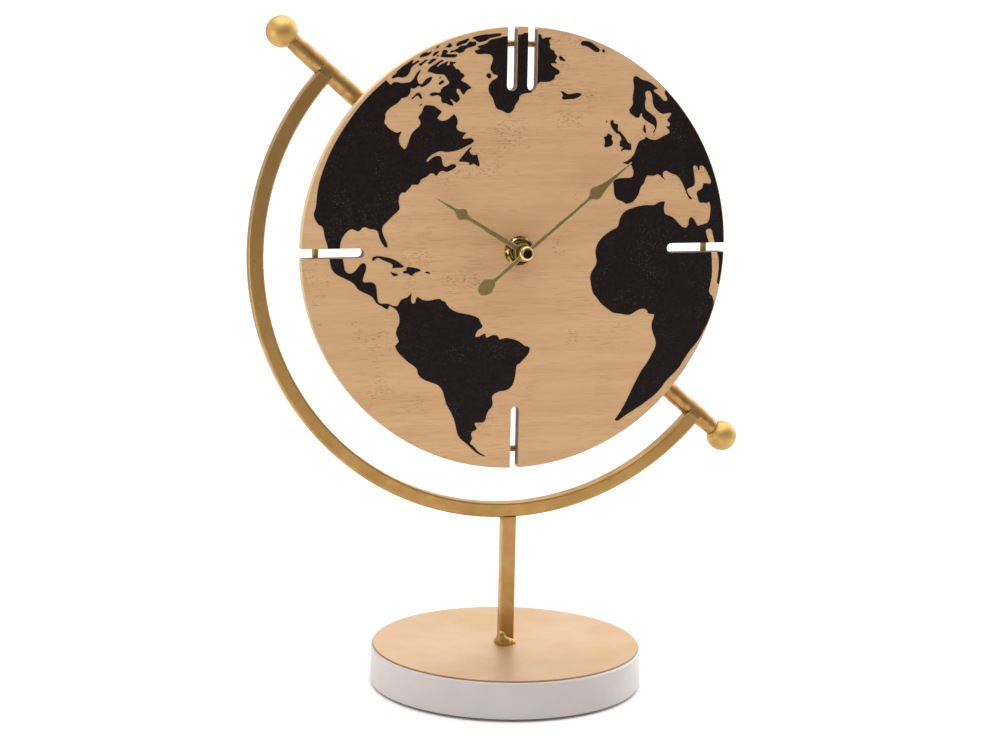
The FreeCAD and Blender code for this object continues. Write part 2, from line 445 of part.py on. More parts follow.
ISLAND_SHARES = [
    [(.170, .877), (.184, .870), (.194, .860), (.205, .849), (.190, .850), (.178, .852), (.171, .861)],
    [(-.170, .781), (-.163, .793), (-.152, .795), (-.144, .787), (-.145, .774), (-.155, .769)],
    [(-.243, .946), (-.222, .955), (-.200, .960), (-.175, .965), (-.158, .964), (-.135, .967),
     (-.110, .970), (-.097, .968), (-.103, .961), (-.120, .955), (-.145, .951), (-.158, .946),
     (-.170, .937), (-.190, .931), (-.210, .929), (-.226, .944)],
    [(-.602, .769), (-.595, .783), (-.582, .788), (-.578, .800), (-.563, .812), (-.548, .825),
     (-.530, .835), (-.517, .845), (-.500, .852), (-.505, .843), (-.512, .831), (-.500, .838),
     (-.488, .846), (-.477, .848), (-.476, .842), (-.487, .836), (-.503, .826), (-.513, .815),
     (-.519, .800), (-.526, .785), (-.540, .776), (-.555, .7715), (-.568, .776), (-.582, .773),
     (-.594, .768)],
    [(-.481, .832), (-.476, .824), (-.467, .824), (-.461, .832), (-.452, .840), (-.437, .850),
     (-.442, .853), (-.452, .850), (-.461, .842), (-.470, .837)],
    [(-.438, .836), (-.436, .831), (-.425, .834), (-.413, .842), (-.400, .850), (-.398, .856),
     (-.412, .857), (-.424, .852)],
    [(-.478, .862), (-.471, .871), (-.460, .879), (-.445, .885), (-.436, .880), (-.428, .886),
     (-.420, .890), (-.424, .881), (-.433, .872), (-.445, .867), (-.471, .861)],
    [(-.419, .867), (-.413, .878), (-.404, .886), (-.384, .890), (-.390, .882), (-.409, .867)],
    [(-.402, .862), (-.396, .870), (-.386, .875), (-.389, .868)],
    [(-.405, .900), (-.398, .908), (-.389, .914), (-.385, .911), (-.400, .899)],
    [(-.384, .865), (-.376, .872), (-.371, .892), (-.362, .896), (-.352, .894), (-.346, .888),
     (-.356, .877), (-.305, .876), (-.304, .869), (-.313, .862), (-.360, .861)],
    [(-.362, .909), (-.350, .914), (-.343, .922), (-.336, .925), (-.332, .918), (-.324, .914),
     (-.340, .903)],
    [(-.337, .888), (-.327, .894), (-.316, .893), (-.310, .899), (-.300, .902), (-.294, .910),
     (-.284, .914), (-.262, .916), (-.255, .926), (-.246, .934), (-.229, .930), (-.220, .936),
     (-.216, .918), (-.226, .912), (-.258, .904), (-.268, .899), (-.272, .888), (-.283, .884),
     (-.293, .880), (-.301, .884), (-.312, .888), (-.335, .882)],
    [(-.312, .914), (-.306, .924), (-.296, .932), (-.267, .941), (-.252, .947), (-.249, .941),
     (-.266, .924), (-.282, .921), (-.302, .911)],
    [(-.389, .745), (-.380, .756), (-.370, .763), (-.362, .760), (-.362, .752), (-.381, .741)],
    [(-.387, .770), (-.379, .778), (-.376, .776), (-.380, .769)],
    [(-.512, .679), (-.505, .688), (-.495, .695), (-.489, .705), (-.478, .707), (-.469, .703),
     (-.461, .685), (-.463, .678), (-.469, .680), (-.481, .695), (-.490, .692), (-.508, .677)],
    [(-.476, .647), (-.471, .655), (-.460, .660), (-.464, .652)],
    [(.181, .715), (.190, .716), (.204, .709), (.217, .7015), (.240, .705), (.263, .709),
     (.280, .705), (.282, .700), (.269, .690), (.250, .681), (.2205, .681), (.201, .677),
     (.189, .682), (.189, .690), (.196, .696)],
    [(.271, .929), (.276, .9375), (.295, .941), (.318, .9355), (.334, .926), (.3635, .903),
     (.360, .891), (.344, .890), (.308, .913), (.289, .919), (.276, .919)],
    [(.3745, .903), (.384, .904), (.3895, .890), (.3765, .887)],
    [(.425, .583), (.433, .587), (.441, .585), (.437, .575), (.445, .570), (.455, .570),
     (.462, .562), (.459, .550), (.462, .538), (.472, .534), (.482, .524), (.501, .502),
     (.506, .492), (.513, .483), (.523, .481), (.529, .473), (.526, .463), (.531, .455),
     (.524, .450), (.510, .451), (.497, .453), (.487, .450), (.479, .444), (.476, .447),
     (.483, .456), (.490, .461), (.480, .466), (.469, .471), (.473, .479), (.471, .489),
     (.479, .496), (.477, .508), (.470, .518), (.464, .526), (.455, .524), (.450, .531),
     (.441, .541), (.433, .549), (.424, .566), (.422, .575)],
    [(.408, .528), (.418, .525), (.428, .520), (.436, .513), (.430, .506), (.436, .494),
     (.439, .482), (.432, .471), (.418, .466), (.404, .464), (.395, .468), (.399, .479),
     (.400, .489), (.394, .511), (.404, .514), (.411, .517)],
    [(.587, .566), (.593, .562), (.596, .537), (.596, .525), (.589, .530), (.582, .541), (.582, .552)],
    [(.401, .575), (.405, .585), (.409, .584), (.404, .573)],
    [(-.228, .470), (-.232, .460), (-.241, .450), (-.236, .443), (-.230, .434), (-.218, .431),
     (-.203, .434), (-.201, .427), (-.197, .408), (-.192, .396), (-.191, .383), (-.198, .380),
     (-.219, .394), (-.225, .390), (-.238, .387), (-.241, .392), (-.238, .398), (-.255, .401),
     (-.289, .403), (-.285, .412), (-.263, .437), (-.254, .449), (-.245, .459)],
    [(-.681, -.024), (-.676, -.017), (-.662, -.013), (-.645, -.014), (-.603, -.022), (-.585, -.028),
     (-.568, -.036), (-.553, -.047), (-.539, -.057), (-.534, -.063), (-.545, -.068), (-.575, -.068),
     (-.589, -.069), (-.587, -.061), (-.586, -.053), (-.597, -.046), (-.630, -.033), (-.652, -.021),
     (-.665, -.026), (-.673, -.035), (-.680, -.034)],
    [(-.601, -.083), (-.585, -.089), (-.570, -.093), (-.559, -.096), (-.567, -.104), (-.578, -.107),
     (-.588, -.099)],
    [(-.542, -.090), (-.535, -.083), (-.520, -.080), (-.524, -.070), (-.518, -.064), (-.500, -.066),
     (-.465, -.074), (-.455, -.081), (-.465, -.086), (-.482, -.090), (-.490, -.098), (-.499, -.106),
     (-.507, -.101), (-.515, -.094), (-.530, -.094)],
    [(-.439, -.092), (-.430, -.087), (-.415, -.089), (-.411, -.098), (-.425, -.096)],
]

# Levels of the base, upwards
BLOCK_TOP = PAD_THICKNESS + BLOCK_HEIGHT
STEM_FOOT = BLOCK_TOP + PLATE_THICKNESS
RECESS_TOP = PAD_THICKNESS + RECESS_DEPTH

# Faces of the dial, towards the front
DIAL_RADIUS = DIAL_DIAMETER / 2
SLOT_INNER_REACH = DIAL_RADIUS - SLOT_DEPTH
BOARD_BACK = -BOARD_BACK_SET
BOARD_FRONT = BOARD_BACK - BOARD_THICKNESS
VENEER_FRONT = BOARD_FRONT - VENEER_THICKNESS
INK_FRONT = VENEER_FRONT - INK_THICKNESS

# Frame
ARC_INNER_RADIUS = DIAL_RADIUS + ARC_GAP
ARC_OUTER_RADIUS = ARC_INNER_RADIUS + BAR_WIDTH
ARC_MID_RADIUS = ARC_INNER_RADIUS + BAR_WIDTH / 2
ARC_BOTTOM = DIAL_CENTRE_HEIGHT - ARC_DROP - ARC_OUTER_RADIUS
UPPER_BALL_REACH = ARC_OUTER_RADIUS + UPPER_BALL_STAND_OUT
LOWER_BALL_REACH = ARC_OUTER_RADIUS + LOWER_BALL_STAND_OUT
TUBE_LEVEL = BOARD_BACK + TUBE_BOARD_GAP + TUBE_DIAMETER / 2
RING_RADIUS = DIAL_RADIUS - RING_SET
RING_LEVEL = BOARD_BACK + RING_WIRE_DIAMETER / 2
UPPER_AXIS = 180.0 - UPPER_RISE
LOWER_AXIS = 360.0 - LOWER_RISE

# Levels along the hand axis
CASE_FRONT = BOARD_BACK + RUBBER_THICKNESS
CASE_BACK = CASE_FRONT + CASE_DEPTH
INNER_FRONT = CASE_FRONT + CASE_WALL
INNER_BACK = CASE_BACK - COVER_THICKNESS
BUSH_END = CASE_FRONT - BUSH_LENGTH
HOUR_HAND_BACK = BUSH_END - HOUR_COLLAR_GAP - HOUR_COLLAR_LENGTH
HOUR_HAND_FRONT = HOUR_HAND_BACK - HOUR_THICKNESS
MINUTE_HAND_BACK = HOUR_HAND_FRONT - HAND_GAP - MINUTE_COLLAR_LENGTH
MINUTE_HAND_FRONT = MINUTE_HAND_BACK - MINUTE_THICKNESS
HOUR_WHEEL_LEVEL = INNER_FRONT + LAYER_GAP
MOTION_WHEEL_LEVEL = HOUR_WHEEL_LEVEL + HOUR_WHEEL_THICKNESS + LAYER_GAP
MIDDLE_LEVEL = MOTION_WHEEL_LEVEL + MOTION_WHEEL_THICKNESS + LAYER_GAP
CENTRE_WHEEL_LEVEL = MIDDLE_LEVEL + MIDDLE_SHEET + LAYER_GAP
SPRING_LEVEL = CENTRE_WHEEL_LEVEL + CENTRE_WHEEL_THICKNESS
FLANGE_LEVEL = SPRING_LEVEL + SPRING_THICKNESS
ARBOR_END = FLANGE_LEVEL + FLANGE_THICKNESS
THIRD_WHEEL_LEVEL = ARBOR_END + LAYER_GAP
SECOND_WHEEL_LEVEL = THIRD_WHEEL_LEVEL + TRAIN_WHEEL_THICKNESS + LAYER_GAP
INTERMEDIATE_LEVEL = SECOND_WHEEL_LEVEL + TRAIN_WHEEL_THICKNESS + LAYER_GAP
MAGNET_LEVEL = INTERMEDIATE_LEVEL + TRAIN_WHEEL_THICKNESS + LAYER_GAP
STATOR_LEVEL = MAGNET_LEVEL + STATOR_SET
CORE_LEVEL = STATOR_LEVEL + STATOR_THICKNESS
BOSS_LEVEL = INNER_BACK - BOSS_LENGTH
PIVOT_END = INNER_BACK - PIVOT_DEPTH + PIVOT_END_GAP
CIRCUIT_LEVEL = INNER_FRONT + CIRCUIT_STAND_OFF

# Case partition and battery bay, measured from the hand axis
CASE_HALF = CASE_SIDE / 2
BAY_BOTTOM = CASE_WALL - CASE_HALF
BAY_TOP = BAY_BOTTOM + BAY_HEIGHT
ROOM_BOTTOM = BAY_TOP + CASE_WALL
BATTERY_HEIGHT = BAY_BOTTOM + BAY_HEIGHT / 2
BATTERY_LEVEL = CASE_FRONT + BAY_FRONT_WALL + BATTERY_GAP + BATTERY_DIAMETER / 2


HUB = (0, 0)


def away(start, radius, angle):
    """Position across the dial, a distance from a start in a direction."""
    turn = math.radians(angle)
    return (start[0] + radius * math.cos(turn), start[1] + radius * math.sin(turn))


# The line of each tube passes a little beside the dial centre, by its set.
LINE_STARTS = {
    UPPER_AXIS: away(HUB, UPPER_LINE_SET, UPPER_AXIS - 90.0),
    LOWER_AXIS: away(HUB, LOWER_LINE_SET, LOWER_AXIS + 90.0),
}


def hexagon(flats):
    """Corners of a hexagon round the axis, from its width across flats."""
    turn = 360.0 / HEXAGON_SIDES
    return [away(HUB, flats / math.sqrt(3), turn * i) for i in range(HEXAGON_SIDES)]


def mesh_distance(first_teeth, second_teeth, module):
    """Distance between the centres of two wheels in mesh."""
    return (first_teeth + second_teeth) * module / 2


# Places of the arbors, measured from the hand axis
MOTION_PLACE = away(HUB, mesh_distance(CANNON_TEETH, MOTION_TEETH, WORK_MODULE), MOTION_ANGLE)
SETTING_REACH = mesh_distance(SETTING_TEETH, MOTION_TEETH, WORK_MODULE)
SETTING_PLACE = away(MOTION_PLACE, SETTING_REACH, SETTING_ANGLE)
THIRD_REACH = mesh_distance(SECOND_PINION_TEETH, THIRD_TEETH, TRAIN_MODULE)
THIRD_PLACE = away(HUB, THIRD_REACH, THIRD_ANGLE)
INTERMEDIATE_REACH = mesh_distance(INTERMEDIATE_PINION_TEETH, SECOND_TEETH, TRAIN_MODULE)
INTERMEDIATE_PLACE = away(HUB, INTERMEDIATE_REACH, INTERMEDIATE_ANGLE)
ROTOR_REACH = mesh_distance(ROTOR_PINION_TEETH, INTERMEDIATE_TEETH, ROTOR_MODULE)
ROTOR_PLACE = away(INTERMEDIATE_PLACE, ROTOR_REACH, ROTOR_ANGLE)


def point(across, level, up):
    """Point at a height measured from the hand axis."""
    return FreeCAD.Vector(across, level, DIAL_CENTRE_HEIGHT + up)


def rod(diameter, front, back, place=HUB):
    """Round solid along the hand axis direction between two levels."""
    return Part.makeCylinder(
        diameter / 2, back - front, point(place[0], front, place[1]), FreeCAD.Vector(0, 1, 0)
    )


def sleeve(outer, inner, front, back, place=HUB):
    """Round solid with a bore."""
    return rod(outer, front, back, place).cut(
        rod(inner, front - OVERRUN, back + OVERRUN, place)
    )


def box(left, right, front, back, bottom, top):
    """Block between limits, heights measured from the hand axis."""
    return Part.makeBox(
        right - left, back - front, top - bottom, point(left, front, bottom)
    )


def upright(diameter, bottom, top):
    """Upright round solid on the base axis."""
    return Part.makeCylinder(diameter / 2, top - bottom, FreeCAD.Vector(0, 0, bottom))


def edges_at_height(shape, height):
    """Edges that lie level at one height."""
    return [
        edge for edge in shape.Edges
        if abs(edge.BoundBox.ZMin - height) < LEVEL_TOLERANCE
        and abs(edge.BoundBox.ZMax - height) < LEVEL_TOLERANCE
    ]


def corner(before, at, after):
    """Rounded corner of an outline: its start, its middle and its end, or the bare corner."""
    back = before.sub(at)
    ahead = after.sub(at)
    reach = ROUNDING_SHARE * min(back.Length, ahead.Length)
    back.normalize()
    ahead.normalize()
    if back.cross(ahead).Length < STRAIGHT_SHARE:
        return [at]
    start = at + back * reach
    end = at + ahead * reach
    half = back.getAngle(ahead) / 2
    inward = (back + ahead).normalize()
    middle = at + inward * (reach / math.cos(half) - reach * math.tan(half))
    return [start, middle, end]


def rounded_face(points):
    """Flat face inside a closed outline with rounded corners."""
    count = len(points)
    corners = [corner(points[i - 1], points[i], points[(i + 1) % count]) for i in range(count)]
    edges = []
    for i in range(count):
        here = corners[i]
        if len(here) > 1:
            edges.append(Part.Arc(here[0], here[1], here[2]).toShape())
        edges.append(Part.makeLine(here[-1], corners[(i + 1) % count][0]))
    return Part.Face(Part.Wire(edges))


def polygon_solid(points, depth):
    """Straight-sided solid, pushed back from its outline."""
    face = Part.Face(Part.makePolygon(points + points[:1]))
    return face.extrude(FreeCAD.Vector(0, depth, 0))


def slot_cutter(width, across, angle, front, back):
    """Slot with a round inner end, open at the rim."""
    reach = SLOT_INNER_REACH + width / 2
    half = width / 2
    length = DIAL_RADIUS + OVERRUN - reach
    shape = box(across - half, across + half, front, back, reach, reach + length)
    shape = shape.fuse(rod(width, front, back, (across, reach)))
    shape.rotate(point(0, 0, 0), FreeCAD.Vector(0, 1, 0), angle)
    return shape


def cut_slots(shape):
    """Take the five slots out of a layer of the dial."""
    front = INK_FRONT - OVERRUN
    back = BOARD_BACK + OVERRUN
    half = UPPER_SLOT_SPACING / 2
    slots = [
        (UPPER_SLOT_WIDTH, -half, 0),
        (UPPER_SLOT_WIDTH, half, 0),
        (SIDE_SLOT_WIDTH, 0, 90),
        (LOWER_SLOT_WIDTH, 0, 180),
        (SIDE_SLOT_WIDTH, 0, 270),
    ]
    for width, across, angle in slots:
        shape = shape.cut(slot_cutter(width, across, angle, front, back))
    return shape


def tab_angles():
    """Directions of the fixing tabs, halfway between the slots."""
    step = 360.0 / TAB_COUNT
    return [step / 2 + step * i for i in range(TAB_COUNT)]


def tab_screw_places():
    """Places of the tab screws."""
    reach = RING_RADIUS - RING_WIRE_DIAMETER / 2 - TAB_SCREW_SET
    return [away(HUB, reach, angle) for angle in tab_angles()]


def base_pad():
    """Soft pad glued under the base, over the bolt recess."""
    return upright(PAD_DIAMETER, 0, PAD_THICKNESS)


def base_block():
    """Round block with a softened top edge and a recess for the bolt."""
    block = upright(BLOCK_DIAMETER, PAD_THICKNESS, BLOCK_TOP)
    block = block.makeFillet(BLOCK_EDGE_RADIUS, edges_at_height(block, BLOCK_TOP))
    block = block.cut(upright(RECESS_DIAMETER, PAD_THICKNESS - OVERRUN, RECESS_TOP))
    bore = BOLT_DIAMETER + 2 * RUN_GAP
    return block.cut(upright(bore, RECESS_TOP - OVERRUN, BLOCK_TOP + OVERRUN))


def base_top_plate():
    """Thin metal plate on the block."""
    plate = upright(PLATE_DIAMETER, BLOCK_TOP, STEM_FOOT)
    plate = plate.makeFillet(PLATE_EDGE_RADIUS, edges_at_height(plate, STEM_FOOT))
    bore = BOLT_DIAMETER + 2 * RUN_GAP
    return plate.cut(upright(bore, BLOCK_TOP - OVERRUN, STEM_FOOT + OVERRUN))


def base_washer():
    """Washer under the bolt head."""
    bottom = RECESS_TOP - BOLT_WASHER_THICKNESS
    bore = BOLT_DIAMETER + 2 * RUN_GAP
    washer = upright(BOLT_WASHER_DIAMETER, bottom, RECESS_TOP)
    return washer.cut(upright(bore, bottom - OVERRUN, RECESS_TOP + OVERRUN))


def base_bolt():
    """Socket-head bolt up into the foot of the stem."""
    shoulder = RECESS_TOP - BOLT_WASHER_THICKNESS
    bottom = shoulder - BOLT_HEAD_HEIGHT
    head = upright(BOLT_HEAD_DIAMETER, bottom, shoulder)
    ring = [FreeCAD.Vector(across, deep, bottom - OVERRUN) for across, deep in hexagon(BOLT_SOCKET_FLATS)]
    face = Part.Face(Part.makePolygon(ring + ring[:1]))
    socket = face.extrude(FreeCAD.Vector(0, 0, OVERRUN + BOLT_SOCKET_DEPTH))
    return head.cut(socket).fuse(upright(BOLT_DIAMETER, shoulder, shoulder + BOLT_LENGTH))


def bar_prism(bottom, top):
    """Upright length of the square bar with its long edges rounded."""
    bar = Part.makeBox(
        BAR_WIDTH, BAR_DEPTH, top - bottom, FreeCAD.Vector(-BAR_WIDTH / 2, -BAR_DEPTH / 2, bottom)
    )
    long_edges = [edge for edge in bar.Edges if edge.BoundBox.ZLength > BAR_WIDTH]
    return bar.makeFillet(BAR_EDGE_RADIUS, long_edges)


def stem():
    """Stem from the base plate up to the underside of the arc, tapped at its foot."""
    bar = bar_prism(STEM_FOOT, ARC_BOTTOM + BAR_EDGE_RADIUS)
    bar = bar.cut(rod(2 * ARC_OUTER_RADIUS, -BAR_DEPTH, BAR_DEPTH, (0, -ARC_DROP)))
    bolt_end = RECESS_TOP - BOLT_WASHER_THICKNESS + BOLT_LENGTH
    bore = BOLT_DIAMETER + 2 * RUN_GAP
    return bar.cut(upright(bore, STEM_FOOT - OVERRUN, bolt_end + OVERRUN))


def beads(places, height, keep_above):
    """Weld beads joined together, kept above a level, around the stem."""
    balls = [
        Part.makeSphere(size, FreeCAD.Vector(across, depth, height + rise))
        for across, depth, rise, size in places
    ]
    bead = balls[0].multiFuse(balls[1:])
    if keep_above:
        bead = bead.cut(upright(PLATE_DIAMETER, height - BAR_WIDTH, height))
    return bead.removeSplitter()


def stem_foot_weld():
    """Weld bead around the foot of the stem."""
    bead = beads(FOOT_BEADS, STEM_FOOT, True)
    return bead.cut(bar_prism(STEM_FOOT - OVERRUN, STEM_FOOT + 2 * BAR_WIDTH))


def stem_head_weld():
    """Weld beads where the stem meets the arc."""
    bead = beads(HEAD_BEADS, ARC_BOTTOM, False)
    return bead.cut(bar_prism(ARC_BOTTOM - 2 * BAR_WIDTH, ARC_BOTTOM + OVERRUN)).cut(arc_bar())


def arc_set_back(rise, line_set):
    """Angle by which an end of the arc stops short of the line through its own centre."""
    reach = line_set + ARC_DROP * math.cos(math.radians(rise)) - ARC_END_SET
    return -math.degrees(math.asin(reach / ARC_MID_RADIUS))


def arc_bar():
    """Half circle of square bar, hung a little low, with its ends set back from the tubes."""
    section = Part.makeBox(
        BAR_WIDTH, BAR_DEPTH, BAR_WIDTH, point(ARC_INNER_RADIUS, -BAR_DEPTH / 2, 0)
    )
    long_edges = [edge for edge in section.Edges if edge.BoundBox.ZLength > BAR_WIDTH / 2]
    section = section.makeFillet(BAR_EDGE_RADIUS, long_edges)
    face = [f for f in section.Faces if f.BoundBox.ZMax < DIAL_CENTRE_HEIGHT + BAR_EDGE_RADIUS / 2][0]
    start = UPPER_AXIS + arc_set_back(UPPER_RISE, UPPER_LINE_SET)
    end = LOWER_AXIS - arc_set_back(LOWER_RISE, LOWER_LINE_SET)
    axis = FreeCAD.Vector(0, -1, 0)
    face.rotate(point(0, 0, 0), axis, start)
    arc = face.revolve(point(0, 0, 0), axis, end - start)
    arc.translate(FreeCAD.Vector(0, 0, -ARC_DROP))
    return arc


def meridian_arc():
    """Arc with its ends let in to the tubes."""
    arc = arc_bar()
    for angle in (UPPER_AXIS, LOWER_AXIS):
        arc = arc.cut(axis_rod(TUBE_DIAMETER, ARC_INNER_RADIUS - BAR_WIDTH, ARC_OUTER_RADIUS + BAR_WIDTH,
                               angle))
    return arc


def axis_rod(diameter, start, end, angle):
    """Round solid along the line of a tube between two distances from its start."""
    place = away(LINE_STARTS[angle], start, angle)
    turn = math.radians(angle)
    direction = FreeCAD.Vector(math.cos(turn), 0, math.sin(turn))
    return Part.makeCylinder(diameter / 2, end - start, point(place[0], TUBE_LEVEL, place[1]), direction)


def arc_weld(angle, side):
    """Weld that runs the end of the arc out on to the crown of the tube."""
    front = -BAR_DEPTH / 2
    crown = TUBE_LEVEL - TUBE_DIAMETER / 2 - BRIDGE_RISE
    profile = [
        (ARC_END_SET, front),
        (ARC_END_SET - BAR_EDGE_RADIUS, front),
        (-BRIDGE_REACH, crown),
        (-BRIDGE_REACH, TUBE_LEVEL),
        (ARC_END_SET, TUBE_LEVEL),
    ]
    start = ARC_INNER_RADIUS + BAR_EDGE_RADIUS / 2 - ARC_DROP * math.sin(math.radians(angle))
    points = [point(start, level, side * across) for across, level in profile]
    face = Part.Face(Part.makePolygon(points + points[:1]))
    wedge = face.extrude(FreeCAD.Vector(BAR_WIDTH - BAR_EDGE_RADIUS, 0, 0))
    wedge.rotate(point(0, 0, 0), FreeCAD.Vector(0, -1, 0), angle)
    across, up = LINE_STARTS[angle]
    wedge.translate(FreeCAD.Vector(across, 0, up))
    tube = axis_rod(TUBE_DIAMETER, ARC_INNER_RADIUS - BAR_WIDTH, ARC_OUTER_RADIUS + BAR_WIDTH, angle)
    return wedge.cut(tube).cut(arc_bar())


def ball_flat():
    """Distance from the ball centre to the flat where the neck meets it."""
    return math.sqrt((BALL_DIAMETER / 2) ** 2 - (NECK_DIAMETER / 2) ** 2)


def axis_tube(reach, angle):
    """Tube from the backing ring out to the seam at its ball, necked at the end."""
    start = RING_RADIUS - TUBE_INNER_SET
    end = reach - ball_flat() - SEAM_WIDTH
    neck = end - NECK_LENGTH
    tube = axis_rod(TUBE_DIAMETER, start, neck, angle)
    place = away(LINE_STARTS[angle], neck, angle)
    turn = math.radians(angle)
    direction = FreeCAD.Vector(math.cos(turn), 0, math.sin(turn))
    tube = tube.fuse(Part.makeCone(TUBE_DIAMETER / 2, NECK_DIAMETER / 2, NECK_LENGTH,
                                   point(place[0], TUBE_LEVEL, place[1]), direction))
    bore = TUBE_DIAMETER - 2 * TUBE_WALL
    tube = tube.cut(axis_rod(bore, start - OVERRUN, end + OVERRUN, angle))
    return tube.cut(backing_ring())


def axis_ball(reach, angle):
    """Ball with a flat, a narrow seam and a stud that fits the tube."""
    centre = away(LINE_STARTS[angle], reach, angle)
    flat = reach - ball_flat()
    ball = Part.makeSphere(BALL_DIAMETER / 2, point(centre[0], TUBE_LEVEL, centre[1]))
    ball = ball.cut(axis_rod(2 * BALL_DIAMETER, reach - BALL_DIAMETER, flat, angle))
    stud_diameter = TUBE_DIAMETER - 2 * TUBE_WALL - 2 * RUN_GAP
    seam = flat - SEAM_WIDTH
    ball = ball.fuse(axis_rod(NECK_DIAMETER - 2 * SEAM_DEPTH, seam, reach, angle))
    return ball.fuse(axis_rod(stud_diameter, seam - STUD_LENGTH, reach, angle))


def backing_ring():
    """Ring of round wire behind the dial."""
    return Part.makeTorus(
        RING_RADIUS, RING_WIRE_DIAMETER / 2, point(0, RING_LEVEL, 0), FreeCAD.Vector(0, 1, 0)
    )


def fixing_tabs():
    """Small tabs welded inside the backing ring."""
    end = RING_RADIUS - RING_WIRE_DIAMETER / 2 + TAB_RING_OVERLAP
    back = BOARD_BACK + TAB_THICKNESS
    half = TAB_WIDTH / 2
    ring = backing_ring()
    tabs = []
    for angle, place in zip(tab_angles(), tab_screw_places()):
        tab = box(end - TAB_LENGTH, end, BOARD_BACK, back, -half, half)
        tab.rotate(point(0, 0, 0), FreeCAD.Vector(0, -1, 0), angle)
        hole = rod(SCREW_DIAMETER + TAB_HOLE_GAP, BOARD_BACK - OVERRUN, back + OVERRUN, place)
        tabs.append(tab.cut(hole).cut(ring))
    return Part.makeCompound(tabs)


def tab_screws():
    """Slotted round-head screws through the tabs into the board."""
    seat = BOARD_BACK + TAB_THICKNESS
    top = seat + SCREW_HEAD_HEIGHT
    half = SCREW_SLOT_WIDTH / 2
    screws = []
    for across, up in tab_screw_places():
        screw = rod(SCREW_DIAMETER, seat - SCREW_LENGTH, seat, (across, up))
        screw = screw.fuse(rod(SCREW_HEAD_DIAMETER, seat, top, (across, up)))
        groove = box(across - SCREW_HEAD_DIAMETER, across + SCREW_HEAD_DIAMETER, top - SCREW_SLOT_DEPTH,
                     top + OVERRUN, up - half, up + half)
        screws.append(screw.cut(groove))
    return Part.makeCompound(screws)


def dial_board():
    """Fibreboard disc with five slots, a centre hole and pilot holes at the back."""
    board = cut_slots(rod(DIAL_DIAMETER, BOARD_FRONT, BOARD_BACK))
    board = board.cut(rod(BOARD_HOLE_DIAMETER, BOARD_FRONT - OVERRUN, BOARD_BACK + OVERRUN))
    depth = BOARD_BACK + TAB_THICKNESS - SCREW_LENGTH - RUN_GAP
    for place in tab_screw_places():
        board = board.cut(rod(SCREW_DIAMETER + 2 * RUN_GAP, depth, BOARD_BACK + OVERRUN, place))
    return board


def dial_veneer():
    """Sheet of wood veneer on the front of the board."""
    veneer = cut_slots(rod(DIAL_DIAMETER, VENEER_FRONT, BOARD_FRONT))
    return veneer.cut(rod(BOARD_HOLE_DIAMETER, VENEER_FRONT - OVERRUN, BOARD_FRONT + OVERRUN))


def land(shares):
    """One printed land mass."""
    corners = [
        point(across * DIAL_RADIUS, INK_FRONT, up * DIAL_RADIUS) for across, up in shares
    ]
    return rounded_face(corners).extrude(FreeCAD.Vector(0, INK_THICKNESS, 0))


def map_print():
    """Dark print of the land on the veneer, broken by the slots."""
    rim = rod(DIAL_DIAMETER - 2 * INK_RIM_MARGIN, INK_FRONT - OVERRUN, VENEER_FRONT + OVERRUN)
    pieces = [
        cut_slots(land(AMERICAS_SHARES)),
        cut_slots(land(OLD_WORLD_SHARES).common(rim)),
        cut_slots(land(GREENLAND_SHARES)),
        land(BAFFIN_SHARES),
    ]
    pieces += [land(shares) for shares in ISLAND_SHARES]
    return Part.makeCompound([solid for piece in pieces for solid in piece.Solids])


def rubber_washer():
    """Soft washer between the movement and the board."""
    return sleeve(RUBBER_DIAMETER, BOARD_HOLE_DIAMETER, BOARD_BACK, CASE_FRONT)


def hub_washer():
    """Round washer on the face of the dial."""
    return sleeve(HUB_WASHER_DIAMETER, BOARD_HOLE_DIAMETER, VENEER_FRONT - HUB_WASHER_THICKNESS,
                  VENEER_FRONT)


def hub_nut():
    """Hexagonal nut with bevelled corners on the threaded bush."""
    back = VENEER_FRONT - HUB_WASHER_THICKNESS
    front = back - HUB_NUT_HEIGHT
    ring = hexagon(HUB_NUT_FLATS)
    nut = polygon_solid([point(across, front, up) for across, up in ring], HUB_NUT_HEIGHT)
    face_radius = (HUB_NUT_FLATS + HUB_NUT_BEVEL) / 2
    cone = Part.makeCone(
        face_radius, HUB_NUT_FLATS / math.sqrt(3) + HUB_NUT_HEIGHT, HUB_NUT_HEIGHT + HUB_NUT_BEVEL,
        point(0, front, 0), FreeCAD.Vector(0, 1, 0)
    )
    bore = rod(BUSH_DIAMETER + 2 * RUN_GAP, front - OVERRUN, back + OVERRUN)
    return nut.common(cone).cut(bore)


def hand_blade(shares, length, width, front, thickness):
    """Flat hand blade pointing straight up from the hub."""
    right = [(share * width / 2, station * length) for station, share in shares]
    left = [(-across, up) for across, up in reversed(right)]
    return polygon_solid([point(across, front, up) for across, up in right + left], thickness)


